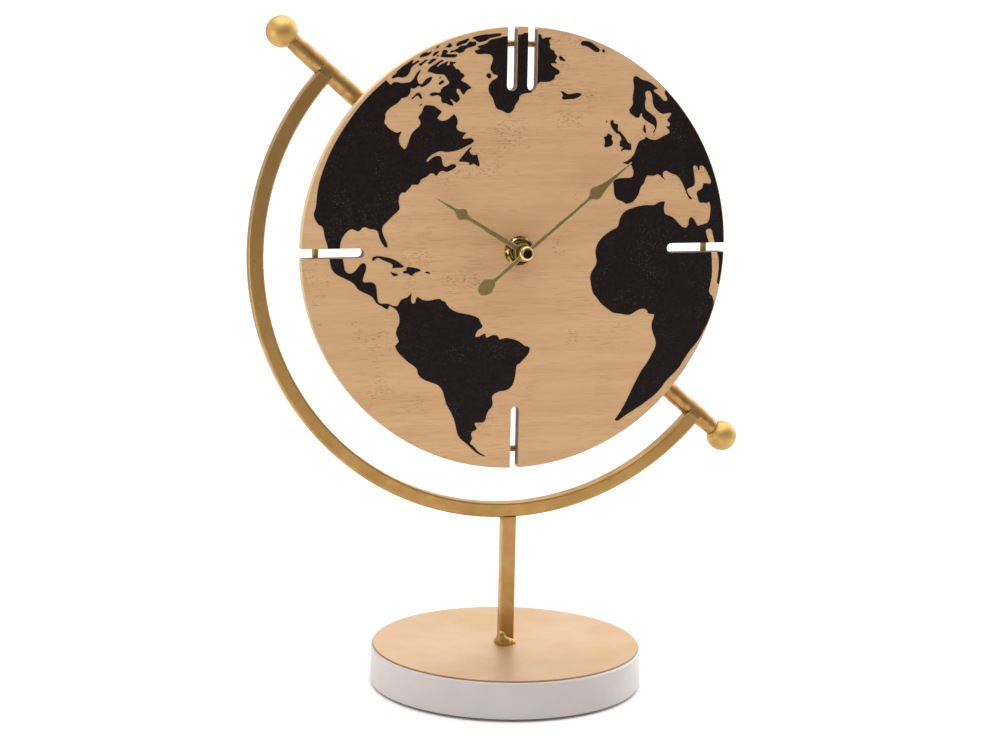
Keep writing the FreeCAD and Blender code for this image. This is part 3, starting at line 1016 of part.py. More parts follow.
def minute_hand():
    """Minute hand with its collar and an oval tail weight, turned to its rest position."""
    blade = hand_blade(MINUTE_HAND_SHARES, MINUTE_LENGTH, MINUTE_LEAF_WIDTH, MINUTE_HAND_FRONT,
                       MINUTE_THICKNESS)
    half = MINUTE_HAND_SHARES[0][1] * MINUTE_LEAF_WIDTH / 2
    tail = box(-half, half, MINUTE_HAND_FRONT, MINUTE_HAND_BACK, -MINUTE_TAIL_REACH, 0)
    oval = Part.Ellipse(point(0, MINUTE_HAND_FRONT, MINUTE_TAIL_LENGTH / 2 - MINUTE_TAIL_REACH),
                        point(MINUTE_TAIL_WIDTH / 2, MINUTE_HAND_FRONT, -MINUTE_TAIL_REACH),
                        point(0, MINUTE_HAND_FRONT, -MINUTE_TAIL_REACH))
    weight = Part.Face(Part.Wire(oval.toShape())).extrude(FreeCAD.Vector(0, MINUTE_THICKNESS, 0))
    collar = rod(MINUTE_COLLAR_DIAMETER, MINUTE_HAND_FRONT, MINUTE_HAND_BACK + MINUTE_COLLAR_LENGTH)
    hand = blade.fuse(tail).fuse(weight).fuse(collar)
    hand = hand.cut(rod(ARBOR_DIAMETER, MINUTE_HAND_FRONT - OVERRUN, HOUR_HAND_FRONT))
    hand.rotate(point(0, 0, 0), FreeCAD.Vector(0, 1, 0), MINUTE_REST_ANGLE)
    return hand


def hour_hand():
    """Hour hand with its collar, turned to its rest position."""
    blade = hand_blade(HOUR_HAND_SHARES, HOUR_LENGTH, HOUR_LEAF_WIDTH, HOUR_HAND_FRONT, HOUR_THICKNESS)
    collar = rod(HOUR_COLLAR_DIAMETER, HOUR_HAND_FRONT, HOUR_HAND_BACK + HOUR_COLLAR_LENGTH)
    hand = blade.fuse(collar).cut(rod(HOUR_TUBE_DIAMETER, HOUR_HAND_FRONT - OVERRUN, BUSH_END))
    hand.rotate(point(0, 0, 0), FreeCAD.Vector(0, 1, 0), HOUR_REST_ANGLE)
    return hand


def cap_nut():
    """Cap nut with a broadly rounded edge that holds the minute hand."""
    back = MINUTE_HAND_FRONT
    front = back - CAP_HEIGHT
    cap = rod(CAP_DIAMETER, front, back)
    edge = [edge for edge in cap.Edges if edge.BoundBox.YMax < front + CAP_HEIGHT / 2]
    cap = cap.makeFillet(CAP_EDGE_RADIUS, edge)
    return cap.cut(rod(CAP_STUD_DIAMETER + 2 * RUN_GAP, back - CAP_STUD_LENGTH - RUN_GAP, back + OVERRUN))


def wheel(teeth, module, front, thickness, place, phase):
    """Toothed wheel or pinion with play between its teeth."""
    pitch = teeth * module / 2
    tip = pitch + ADDENDUM_SHARE * module
    root = pitch - DEDENDUM_SHARE * module
    step = 360.0 / teeth
    outline = []
    for i in range(teeth):
        middle = phase + i * step
        for radius, offset in ((root, -TOOTH_ROOT_SHARE), (tip, -TOOTH_TIP_SHARE),
                               (tip, TOOTH_TIP_SHARE), (root, TOOTH_ROOT_SHARE)):
            across, up = away(place, radius, middle + offset * step / 2)
            outline.append(point(across, front, up))
    return polygon_solid(outline, thickness)


def gap_phase(teeth, direction):
    """Phase that puts a gap between two teeth in a direction."""
    return direction + 180.0 / teeth


def follow_phase(first_teeth, first_phase, direction, second_teeth):
    """Phase of a second wheel that meshes a first one found in a direction from it."""
    share = (direction - first_phase) * first_teeth / 360.0
    return direction + 180.0 - (HALF_TOOTH - share) * 360.0 / second_teeth


def minute_arbor():
    """Minute arbor with its pinion, rear flange and front stud."""
    arbor = rod(ARBOR_DIAMETER, MINUTE_HAND_FRONT, ARBOR_END)
    arbor = arbor.fuse(rod(CAP_STUD_DIAMETER, MINUTE_HAND_FRONT - CAP_STUD_LENGTH, MINUTE_HAND_FRONT))
    arbor = arbor.fuse(rod(FLANGE_DIAMETER, FLANGE_LEVEL, ARBOR_END))
    pinion = wheel(CANNON_TEETH, WORK_MODULE, MOTION_WHEEL_LEVEL, MOTION_WHEEL_THICKNESS, HUB,
                   MOTION_ANGLE)
    socket = rod(PIVOT_DIAMETER + 2 * RUN_GAP, ARBOR_END - PIVOT_DEPTH - PIVOT_END_GAP, ARBOR_END + OVERRUN)
    return arbor.fuse(pinion).cut(socket)


def hour_wheel():
    """Hour wheel on its long tube."""
    disc = wheel(HOUR_TEETH, WORK_MODULE, HOUR_WHEEL_LEVEL, HOUR_WHEEL_THICKNESS, HUB,
                 gap_phase(HOUR_TEETH, MOTION_ANGLE))
    end = HOUR_WHEEL_LEVEL + HOUR_WHEEL_THICKNESS
    front = HOUR_HAND_FRONT - TUBE_STAND_OUT
    tube = rod(HOUR_TUBE_DIAMETER, front, end)
    return disc.fuse(tube).cut(rod(ARBOR_DIAMETER + 2 * RUN_GAP, front - OVERRUN, end + OVERRUN))


def motion_phase():
    """Phase of the motion wheel, with a gap towards the minute pinion."""
    return gap_phase(MOTION_TEETH, MOTION_ANGLE + 180.0)


def motion_wheel():
    """Motion wheel with its pinion between the case front and the middle plate."""
    disc = wheel(MOTION_TEETH, WORK_MODULE, MOTION_WHEEL_LEVEL, MOTION_WHEEL_THICKNESS, MOTION_PLACE,
                 motion_phase())
    pinion = wheel(MOTION_PINION_TEETH, WORK_MODULE, HOUR_WHEEL_LEVEL, MOTION_WHEEL_LEVEL - HOUR_WHEEL_LEVEL,
                   MOTION_PLACE, MOTION_ANGLE + 180.0)
    arbor = rod(PIVOT_DIAMETER, INNER_FRONT - PIVOT_DEPTH + PIVOT_END_GAP, MIDDLE_LEVEL + PIVOT_DEPTH,
                MOTION_PLACE)
    return disc.fuse(pinion).fuse(arbor)


def setting_knob():
    """Knurled knob behind the cover, with its spindle and pinion."""
    phase = follow_phase(MOTION_TEETH, motion_phase(), SETTING_ANGLE, SETTING_TEETH)
    pinion = wheel(SETTING_TEETH, WORK_MODULE, MOTION_WHEEL_LEVEL, MOTION_WHEEL_THICKNESS, SETTING_PLACE,
                   phase)
    front = CASE_BACK + KNOB_GAP
    back = front + KNOB_HEIGHT
    spindle = rod(SPINDLE_DIAMETER, INNER_FRONT - PIVOT_DEPTH + PIVOT_END_GAP, front, SETTING_PLACE)
    knob = rod(KNOB_DIAMETER, front, back, SETTING_PLACE)
    for i in range(KNOB_NOTCH_COUNT):
        place = away(SETTING_PLACE, KNOB_DIAMETER / 2, i * 360.0 / KNOB_NOTCH_COUNT)
        knob = knob.cut(rod(KNOB_NOTCH_DIAMETER, front - OVERRUN, back + OVERRUN, place))
    return knob.fuse(spindle).fuse(pinion)


def centre_wheel():
    """Centre wheel, loose on the minute arbor."""
    disc = wheel(CENTRE_TEETH, CENTRE_MODULE, CENTRE_WHEEL_LEVEL, CENTRE_WHEEL_THICKNESS, HUB,
                 gap_phase(CENTRE_TEETH, THIRD_ANGLE))
    return disc.cut(rod(ARBOR_DIAMETER + 2 * RUN_GAP, CENTRE_WHEEL_LEVEL - OVERRUN, SPRING_LEVEL + OVERRUN))


def clutch_spring():
    """Thin spring washer of the slipping clutch, behind the centre wheel."""
    return sleeve(SPRING_DIAMETER, ARBOR_DIAMETER + 2 * RUN_GAP, SPRING_LEVEL, FLANGE_LEVEL)


def third_wheel():
    """Third wheel with its pinion at the centre wheel."""
    disc = wheel(THIRD_TEETH, TRAIN_MODULE, THIRD_WHEEL_LEVEL, TRAIN_WHEEL_THICKNESS, THIRD_PLACE,
                 gap_phase(THIRD_TEETH, THIRD_ANGLE + 180.0))
    pinion = wheel(THIRD_PINION_TEETH, CENTRE_MODULE, CENTRE_WHEEL_LEVEL,
                   THIRD_WHEEL_LEVEL - CENTRE_WHEEL_LEVEL, THIRD_PLACE, THIRD_ANGLE + 180.0)
    arbor = rod(PIVOT_DIAMETER, MIDDLE_LEVEL + PIVOT_END_GAP, PIVOT_END, THIRD_PLACE)
    return disc.fuse(pinion).fuse(arbor)


def second_wheel():
    """Second wheel with its pinion at the third wheel, on the hand axis."""
    disc = wheel(SECOND_TEETH, TRAIN_MODULE, SECOND_WHEEL_LEVEL, TRAIN_WHEEL_THICKNESS, HUB,
                 gap_phase(SECOND_TEETH, INTERMEDIATE_ANGLE))
    pinion = wheel(SECOND_PINION_TEETH, TRAIN_MODULE, THIRD_WHEEL_LEVEL,
                   SECOND_WHEEL_LEVEL - THIRD_WHEEL_LEVEL, HUB, THIRD_ANGLE)
    arbor = rod(PIVOT_DIAMETER, ARBOR_END - PIVOT_DEPTH, PIVOT_END)
    return disc.fuse(pinion).fuse(arbor)


def intermediate_wheel():
    """Intermediate wheel with its pinion at the second wheel."""
    disc = wheel(INTERMEDIATE_TEETH, ROTOR_MODULE, INTERMEDIATE_LEVEL, TRAIN_WHEEL_THICKNESS,
                 INTERMEDIATE_PLACE, gap_phase(INTERMEDIATE_TEETH, ROTOR_ANGLE))
    pinion = wheel(INTERMEDIATE_PINION_TEETH, TRAIN_MODULE, SECOND_WHEEL_LEVEL,
                   INTERMEDIATE_LEVEL - SECOND_WHEEL_LEVEL, INTERMEDIATE_PLACE, INTERMEDIATE_ANGLE + 180.0)
    arbor = rod(PIVOT_DIAMETER, MIDDLE_LEVEL + PIVOT_END_GAP, PIVOT_END, INTERMEDIATE_PLACE)
    return disc.fuse(pinion).fuse(arbor)


def rotor_pinion():
    """Rotor arbor with its pinion at the intermediate wheel."""
    pinion = wheel(ROTOR_PINION_TEETH, ROTOR_MODULE, INTERMEDIATE_LEVEL, MAGNET_LEVEL - INTERMEDIATE_LEVEL,
                   ROTOR_PLACE, ROTOR_ANGLE + 180.0)
    return pinion.fuse(rod(PIVOT_DIAMETER, MIDDLE_LEVEL + PIVOT_END_GAP, PIVOT_END, ROTOR_PLACE))


def rotor_magnet():
    """Round magnet on the rotor arbor."""
    return sleeve(MAGNET_DIAMETER, PIVOT_DIAMETER, MAGNET_LEVEL, MAGNET_LEVEL + MAGNET_THICKNESS,
                  ROTOR_PLACE)


def pillar_places():
    """Places of the pillars under the middle plate."""
    left = MIDDLE_LEFT + PILLAR_LEFT_SET
    right = MIDDLE_RIGHT - PILLAR_RIGHT_SET
    bottom = MIDDLE_BOTTOM + PILLAR_BOTTOM_SET
    top = MIDDLE_TOP - PILLAR_TOP_SET
    return [(left, bottom), (right, bottom), (right, top), (MIDDLE_LEFT + PILLAR_TOP_SIDE, top)]


def movement_case():
    """Moulded case with the threaded bush, the pillars and the open battery bay."""
    case = box(-CASE_HALF, CASE_HALF, CASE_FRONT, CASE_BACK, -CASE_HALF, CASE_HALF)
    deep_edges = [edge for edge in case.Edges if edge.BoundBox.YLength > CASE_DEPTH / 2]
    case = case.makeFillet(CASE_CORNER_RADIUS, deep_edges)
    inner = CASE_HALF - CASE_WALL
    case = case.cut(box(-inner, inner, INNER_FRONT, CASE_BACK, ROOM_BOTTOM, inner))
    case = case.cut(box(-CASE_SIDE, CASE_SIDE, INNER_BACK, CASE_BACK + OVERRUN, BAY_TOP, CASE_SIDE))
    bay_front = CASE_FRONT + BAY_FRONT_WALL
    case = case.cut(box(-inner, inner, bay_front, CASE_BACK + OVERRUN, BAY_BOTTOM, BAY_TOP))
    for left, right in ((-inner, CONTACT_NOTCH - inner), (inner - CONTACT_NOTCH, inner)):
        case = case.cut(box(left, right, INNER_FRONT, INNER_FRONT + CONTACT_NOTCH_DEPTH,
                            BAY_TOP - OVERRUN, ROOM_BOTTOM + OVERRUN))
    case = case.fuse(rod(BUSH_DIAMETER, BUSH_END, CASE_FRONT))
    for place in pillar_places():
        case = case.fuse(rod(PILLAR_DIAMETER, INNER_FRONT, MIDDLE_LEVEL, place))
    for across in (CIRCUIT_LEFT + CIRCUIT_PILLAR_SET, CIRCUIT_RIGHT - CIRCUIT_PILLAR_SET):
        place = (across, (CIRCUIT_BOTTOM + CIRCUIT_TOP) / 2)
        case = case.fuse(rod(PILLAR_DIAMETER, INNER_FRONT, CIRCUIT_LEVEL, place))
    case = case.cut(rod(HOUR_TUBE_DIAMETER + 2 * RUN_GAP, BUSH_END - OVERRUN, INNER_FRONT + OVERRUN))
    for place, diameter in ((MOTION_PLACE, PIVOT_DIAMETER), (SETTING_PLACE, SPINDLE_DIAMETER)):
        case = case.cut(rod(diameter + 2 * RUN_GAP, INNER_FRONT - PIVOT_DEPTH, INNER_FRONT + OVERRUN, place))
    return case


def movement_cover():
    """Rear cover of the gear room with pivot bosses and the knob hole."""
    cover = box(-CASE_HALF, CASE_HALF, INNER_BACK, CASE_BACK, BAY_TOP, CASE_HALF)
    upper_edges = [
        edge for edge in cover.Edges
        if edge.BoundBox.YLength > COVER_THICKNESS / 2 and edge.BoundBox.ZMin > DIAL_CENTRE_HEIGHT
    ]
    cover = cover.makeFillet(CASE_CORNER_RADIUS, upper_edges)
    for place in (HUB, THIRD_PLACE, INTERMEDIATE_PLACE, ROTOR_PLACE):
        cover = cover.fuse(rod(BOSS_DIAMETER, BOSS_LEVEL, INNER_BACK, place))
        cover = cover.cut(rod(PIVOT_DIAMETER + 2 * RUN_GAP, BOSS_LEVEL - OVERRUN, PIVOT_END + PIVOT_END_GAP,
                              place))
    return cover.cut(rod(SPINDLE_DIAMETER + 2 * RUN_GAP, INNER_BACK - OVERRUN, CASE_BACK + OVERRUN,
                         SETTING_PLACE))


def middle_plate():
    """Plate that carries the front pivots of the train."""
    back = MIDDLE_LEVEL + MIDDLE_SHEET
    plate = box(MIDDLE_LEFT, MIDDLE_RIGHT, MIDDLE_LEVEL, back, MIDDLE_BOTTOM, MIDDLE_TOP)
    holes = [(HUB, ARBOR_DIAMETER), (SETTING_PLACE, SPINDLE_DIAMETER)]
    holes += [(place, PIVOT_DIAMETER) for place in (MOTION_PLACE, THIRD_PLACE, INTERMEDIATE_PLACE,
                                                    ROTOR_PLACE)]
    for place, diameter in holes:
        plate = plate.cut(rod(diameter + 2 * RUN_GAP, MIDDLE_LEVEL - OVERRUN, back + OVERRUN, place))
    return plate


def stator():
    """Thin iron yoke around the rotor, with two legs up to the coil."""
    back = STATOR_LEVEL + STATOR_THICKNESS
    bottom = ROTOR_PLACE[1] - STATOR_BAR_HEIGHT / 2
    yoke = box(STATOR_LEFT, STATOR_RIGHT, STATOR_LEVEL, back, bottom, bottom + STATOR_BAR_HEIGHT)
    for left in (STATOR_LEFT, STATOR_RIGHT - STATOR_LEG_WIDTH):
        yoke = yoke.fuse(box(left, left + STATOR_LEG_WIDTH, STATOR_LEVEL, back, bottom, CORE_TOP))
    yoke = yoke.fuse(rod(STATOR_RING_DIAMETER, STATOR_LEVEL, back, ROTOR_PLACE)).removeSplitter()
    return yoke.cut(rod(STATOR_BORE, STATOR_LEVEL - OVERRUN, back + OVERRUN, ROTOR_PLACE))


def core_box(left, right, build):
    """Block around the coil core, larger than it by a build on every side."""
    return box(left, right, CORE_LEVEL - build, CORE_LEVEL + CORE_THICKNESS + build,
               CORE_TOP - CORE_HEIGHT - build, CORE_TOP + build)


def bobbin_ends():
    """Left and right ends of the bobbin between the legs of the yoke."""
    left = STATOR_LEFT + STATOR_LEG_WIDTH + BOBBIN_END_SET
    return (left, STATOR_RIGHT - STATOR_LEG_WIDTH - BOBBIN_END_SET)


def coil_core():
    """Flat iron core laid across the two legs."""
    return core_box(STATOR_LEFT, STATOR_RIGHT, 0)


def coil_bobbin():
    """Bobbin with two flanges on the core."""
    left, right = bobbin_ends()
    body = core_box(left, right, BOBBIN_GAP + BOBBIN_WALL)
    for start in (left, right - FLANGE_SHEET):
        body = body.fuse(core_box(start, start + FLANGE_SHEET, FLANGE_RISE + BOBBIN_WALL))
    return body.cut(core_box(left - OVERRUN, right + OVERRUN, BOBBIN_GAP))


def coil_winding():
    """Copper winding between the flanges."""
    left, right = bobbin_ends()
    left += FLANGE_SHEET
    right -= FLANGE_SHEET
    inner = BOBBIN_GAP + BOBBIN_WALL
    winding = core_box(left, right, inner + WINDING_BUILD)
    long_edges = [edge for edge in winding.Edges if edge.BoundBox.XLength > WINDING_BUILD]
    winding = winding.makeFillet(WINDING_BUILD, long_edges)
    return winding.cut(core_box(left - OVERRUN, right + OVERRUN, inner))


def circuit_board():
    """Circuit board on its two pillars."""
    return box(CIRCUIT_LEFT, CIRCUIT_RIGHT, CIRCUIT_LEVEL, CIRCUIT_LEVEL + CIRCUIT_SHEET, CIRCUIT_BOTTOM,
               CIRCUIT_TOP)


def control_chip():
    """Domed blob over the control chip."""
    back = CIRCUIT_LEVEL + CIRCUIT_SHEET
    radius = ((CHIP_DIAMETER / 2) ** 2 + CHIP_HEIGHT ** 2) / (2 * CHIP_HEIGHT)
    place = (CIRCUIT_LEFT + CHIP_LEFT_SET, (CIRCUIT_BOTTOM + CIRCUIT_TOP) / 2)
    ball = Part.makeSphere(radius, point(place[0], back + CHIP_HEIGHT - radius, place[1]))
    return ball.common(rod(CHIP_DIAMETER, back, back + CHIP_HEIGHT + OVERRUN, place))


def quartz_crystal():
    """Metal can of the crystal, lying on the circuit board."""
    left = CIRCUIT_LEFT + CRYSTAL_LEFT_SET
    level = CIRCUIT_LEVEL + CIRCUIT_SHEET + CRYSTAL_DIAMETER / 2
    height = (CIRCUIT_BOTTOM + CIRCUIT_TOP) / 2
    return Part.makeCylinder(CRYSTAL_DIAMETER / 2, CRYSTAL_LENGTH, point(left, level, height),
                             FreeCAD.Vector(1, 0, 0))


def battery():
    """Plain round cell lying across the bay."""
    start = -(BATTERY_LENGTH + BATTERY_NUB_LENGTH) / 2
    axis = FreeCAD.Vector(1, 0, 0)
    body = Part.makeCylinder(BATTERY_DIAMETER / 2, BATTERY_LENGTH,
                             point(start, BATTERY_LEVEL, BATTERY_HEIGHT), axis)
    rims = [edge for edge in body.Edges if edge.BoundBox.XLength < BATTERY_EDGE_RADIUS]
    body = body.makeFillet(BATTERY_EDGE_RADIUS, rims)
    nub = Part.makeCylinder(BATTERY_NUB_DIAMETER / 2, BATTERY_NUB_LENGTH,
                            point(start + BATTERY_LENGTH, BATTERY_LEVEL, BATTERY_HEIGHT), axis)
    return body.fuse(nub)


def battery_contact(side):
    """Spring contact on an end wall of the bay, with a strip up into the gear room."""
    wall = CASE_HALF - CASE_WALL
    half = CONTACT_WIDTH / 2
    face = wall - CONTACT_THICKNESS
    front = INNER_FRONT + LAYER_GAP
    strip = box(face, wall, front, front + CONTACT_WIDTH, BATTERY_HEIGHT - half, ROOM_BOTTOM + CONTACT_RISE)
    plate = box(face, wall, front, BATTERY_LEVEL + CONTACT_WIDTH, BATTERY_HEIGHT - CONTACT_WIDTH,
                BATTERY_HEIGHT + CONTACT_WIDTH)
    spring = Part.makeCylinder(CONTACT_SPRING_DIAMETER / 2, CONTACT_SPRING_LENGTH,
                               point(face - CONTACT_SPRING_LENGTH, BATTERY_LEVEL, BATTERY_HEIGHT),
                               FreeCAD.Vector(1, 0, 0))
    contact = strip.fuse(plate).fuse(spring)
    if side < 0:
        contact = contact.mirror(FreeCAD.Vector(0, 0, 0), FreeCAD.Vector(1, 0, 0))
    return contact


NODES = {
    "base_pad": base_pad,
    "base_block": base_block,
    "base_top_plate": base_top_plate,
    "base_washer": base_washer,
    "base_bolt": base_bolt,
    "stem": stem,
    "stem_foot_weld": stem_foot_weld,
    "stem_head_weld": stem_head_weld,
    "meridian_arc": meridian_arc,
    "arc_weld_upper": lambda: arc_weld(UPPER_AXIS, 1),
    "arc_weld_lower": lambda: arc_weld(LOWER_AXIS, -1),
    "axis_tube_upper": lambda: axis_tube(UPPER_BALL_REACH, UPPER_AXIS),
    "axis_tube_lower": lambda: axis_tube(LOWER_BALL_REACH, LOWER_AXIS),
    "ball_upper": lambda: axis_ball(UPPER_BALL_REACH, UPPER_AXIS),
    "ball_lower": lambda: axis_ball(LOWER_BALL_REACH, LOWER_AXIS),
    "backing_ring": backing_ring,
    "fixing_tabs": fixing_tabs,
    "tab_screws": tab_screws,
    "dial_board": dial_board,
    "dial_veneer": dial_veneer,
    "map_print": map_print,
    "rubber_washer": rubber_washer,
    "hub_washer": hub_washer,
    "hub_nut": hub_nut,
    "minute_hand": minute_hand,
    "hour_hand": hour_hand,
    "cap_nut": cap_nut,
    "minute_arbor": minute_arbor,
    "hour_wheel": hour_wheel,
    "motion_wheel": motion_wheel,
    "setting_knob": setting_knob,
    "centre_wheel": centre_wheel,
    "clutch_spring": clutch_spring,
    "third_wheel": third_wheel,
    "second_wheel": second_wheel,
    "intermediate_wheel": intermediate_wheel,
    "rotor_pinion": rotor_pinion,
    "rotor_magnet": rotor_magnet,
    "movement_case": movement_case,
    "movement_cover": movement_cover,
    "middle_plate": middle_plate,
    "stator": stator,
    "coil_core": coil_core,
    "coil_bobbin": coil_bobbin,
    "coil_winding": coil_winding,
    "circuit_board": circuit_board,
    "control_chip": control_chip,
    "quartz_crystal": quartz_crystal,
    "battery": battery,
    "contact_positive": lambda: battery_contact(1),
    "contact_negative": lambda: battery_contact(-1),
}


def main():
    """Write every piece as a file of its own."""
    os.makedirs("parts", exist_ok=True)
    for name, build in NODES.items():
        build().exportStep("parts/" + name + ".step")


main()
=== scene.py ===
"""Looks of a globe-style table clock: finishes, small drawn pieces, studio and camera."""

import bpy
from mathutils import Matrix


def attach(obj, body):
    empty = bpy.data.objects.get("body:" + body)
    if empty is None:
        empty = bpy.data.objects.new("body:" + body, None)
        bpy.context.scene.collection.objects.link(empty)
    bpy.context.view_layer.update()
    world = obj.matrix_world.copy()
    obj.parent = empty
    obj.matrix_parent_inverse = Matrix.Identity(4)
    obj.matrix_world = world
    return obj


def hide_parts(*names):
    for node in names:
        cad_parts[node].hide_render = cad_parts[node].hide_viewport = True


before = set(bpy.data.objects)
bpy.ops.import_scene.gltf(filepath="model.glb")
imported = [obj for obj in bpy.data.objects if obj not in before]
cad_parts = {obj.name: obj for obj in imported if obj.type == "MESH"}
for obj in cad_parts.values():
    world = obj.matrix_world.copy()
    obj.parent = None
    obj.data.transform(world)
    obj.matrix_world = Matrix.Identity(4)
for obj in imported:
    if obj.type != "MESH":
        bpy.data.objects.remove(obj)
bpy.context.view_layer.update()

import enum
import logging
import math
from dataclasses import dataclass
from typing import Any, Callable, Sequence

import bmesh
import bpy
from mathutils import Matrix, Vector

log = logging.getLogger("clock")
MM = 0.001
Colour = tuple[float, float, float, float]
Socket = bpy.types.NodeSocket
Tree = bpy.types.NodeTree
Span = tuple[float, float]
Place = tuple[float, float, float]

# Rays of each Bevel node: enough for a smooth edge at this picture size.
BEVEL_SAMPLES = 4
# Cosine between the flat and the rounded normal where an edge's strip of wear and painted highlight starts,
# and where it is full.
EDGE_TURN = (0.985, 0.8)
# Pattern values where the edge strip of wear and painted highlight starts, and where it is full.
EDGE_PATCHY = (0.3, 0.6)
# Width over which one coloured zone runs into the next.
ZONE_SOFT_MM = 0.1
# The wave texture draws its bands this far apart at a scale of one.
WAVE_STEP = 0.314


def linear(code: str) -> Colour:
    """Turns an sRGB hex colour to linear, with the constants of the sRGB standard.

    Args:
        code: six hex digits.

    Returns:
        Red, green, blue and an alpha of one.
    """
    parts = [int(code[i:i + 2], 16) / 255 for i in (0, 2, 4)]
    return (*[c / 12.92 if c <= 0.04045 else ((c + 0.055) / 1.055) ** 2.4 for c in parts], 1.0)


def add(tree: Tree, kind: str, inputs: dict[Any, Any] | None = None, **settings: Any) -> bpy.types.Node:
    """Adds one node with its settings and links.

    Args:
        tree: the tree that gets it.
        kind: the node's type after "ShaderNode".
        inputs: value or source socket for each input, by name or number.
        settings: the node's own properties.

    Returns:
        The new node.
    """
    node = tree.nodes.new("ShaderNode" + kind)
    for name, value in settings.items():
        setattr(node, name, value)
    for name, value in (inputs or {}).items():
        if isinstance(value, Socket):
            tree.links.new(value, node.inputs[name])
        else:
            node.inputs[name].default_value = value
    return node


class Grain(enum.Enum):
    """Directions in which a surface pattern is drawn out."""

    NONE = (1.0, 1.0, 1.0)
    ALONG_X = (0.05, 1.0, 1.0)


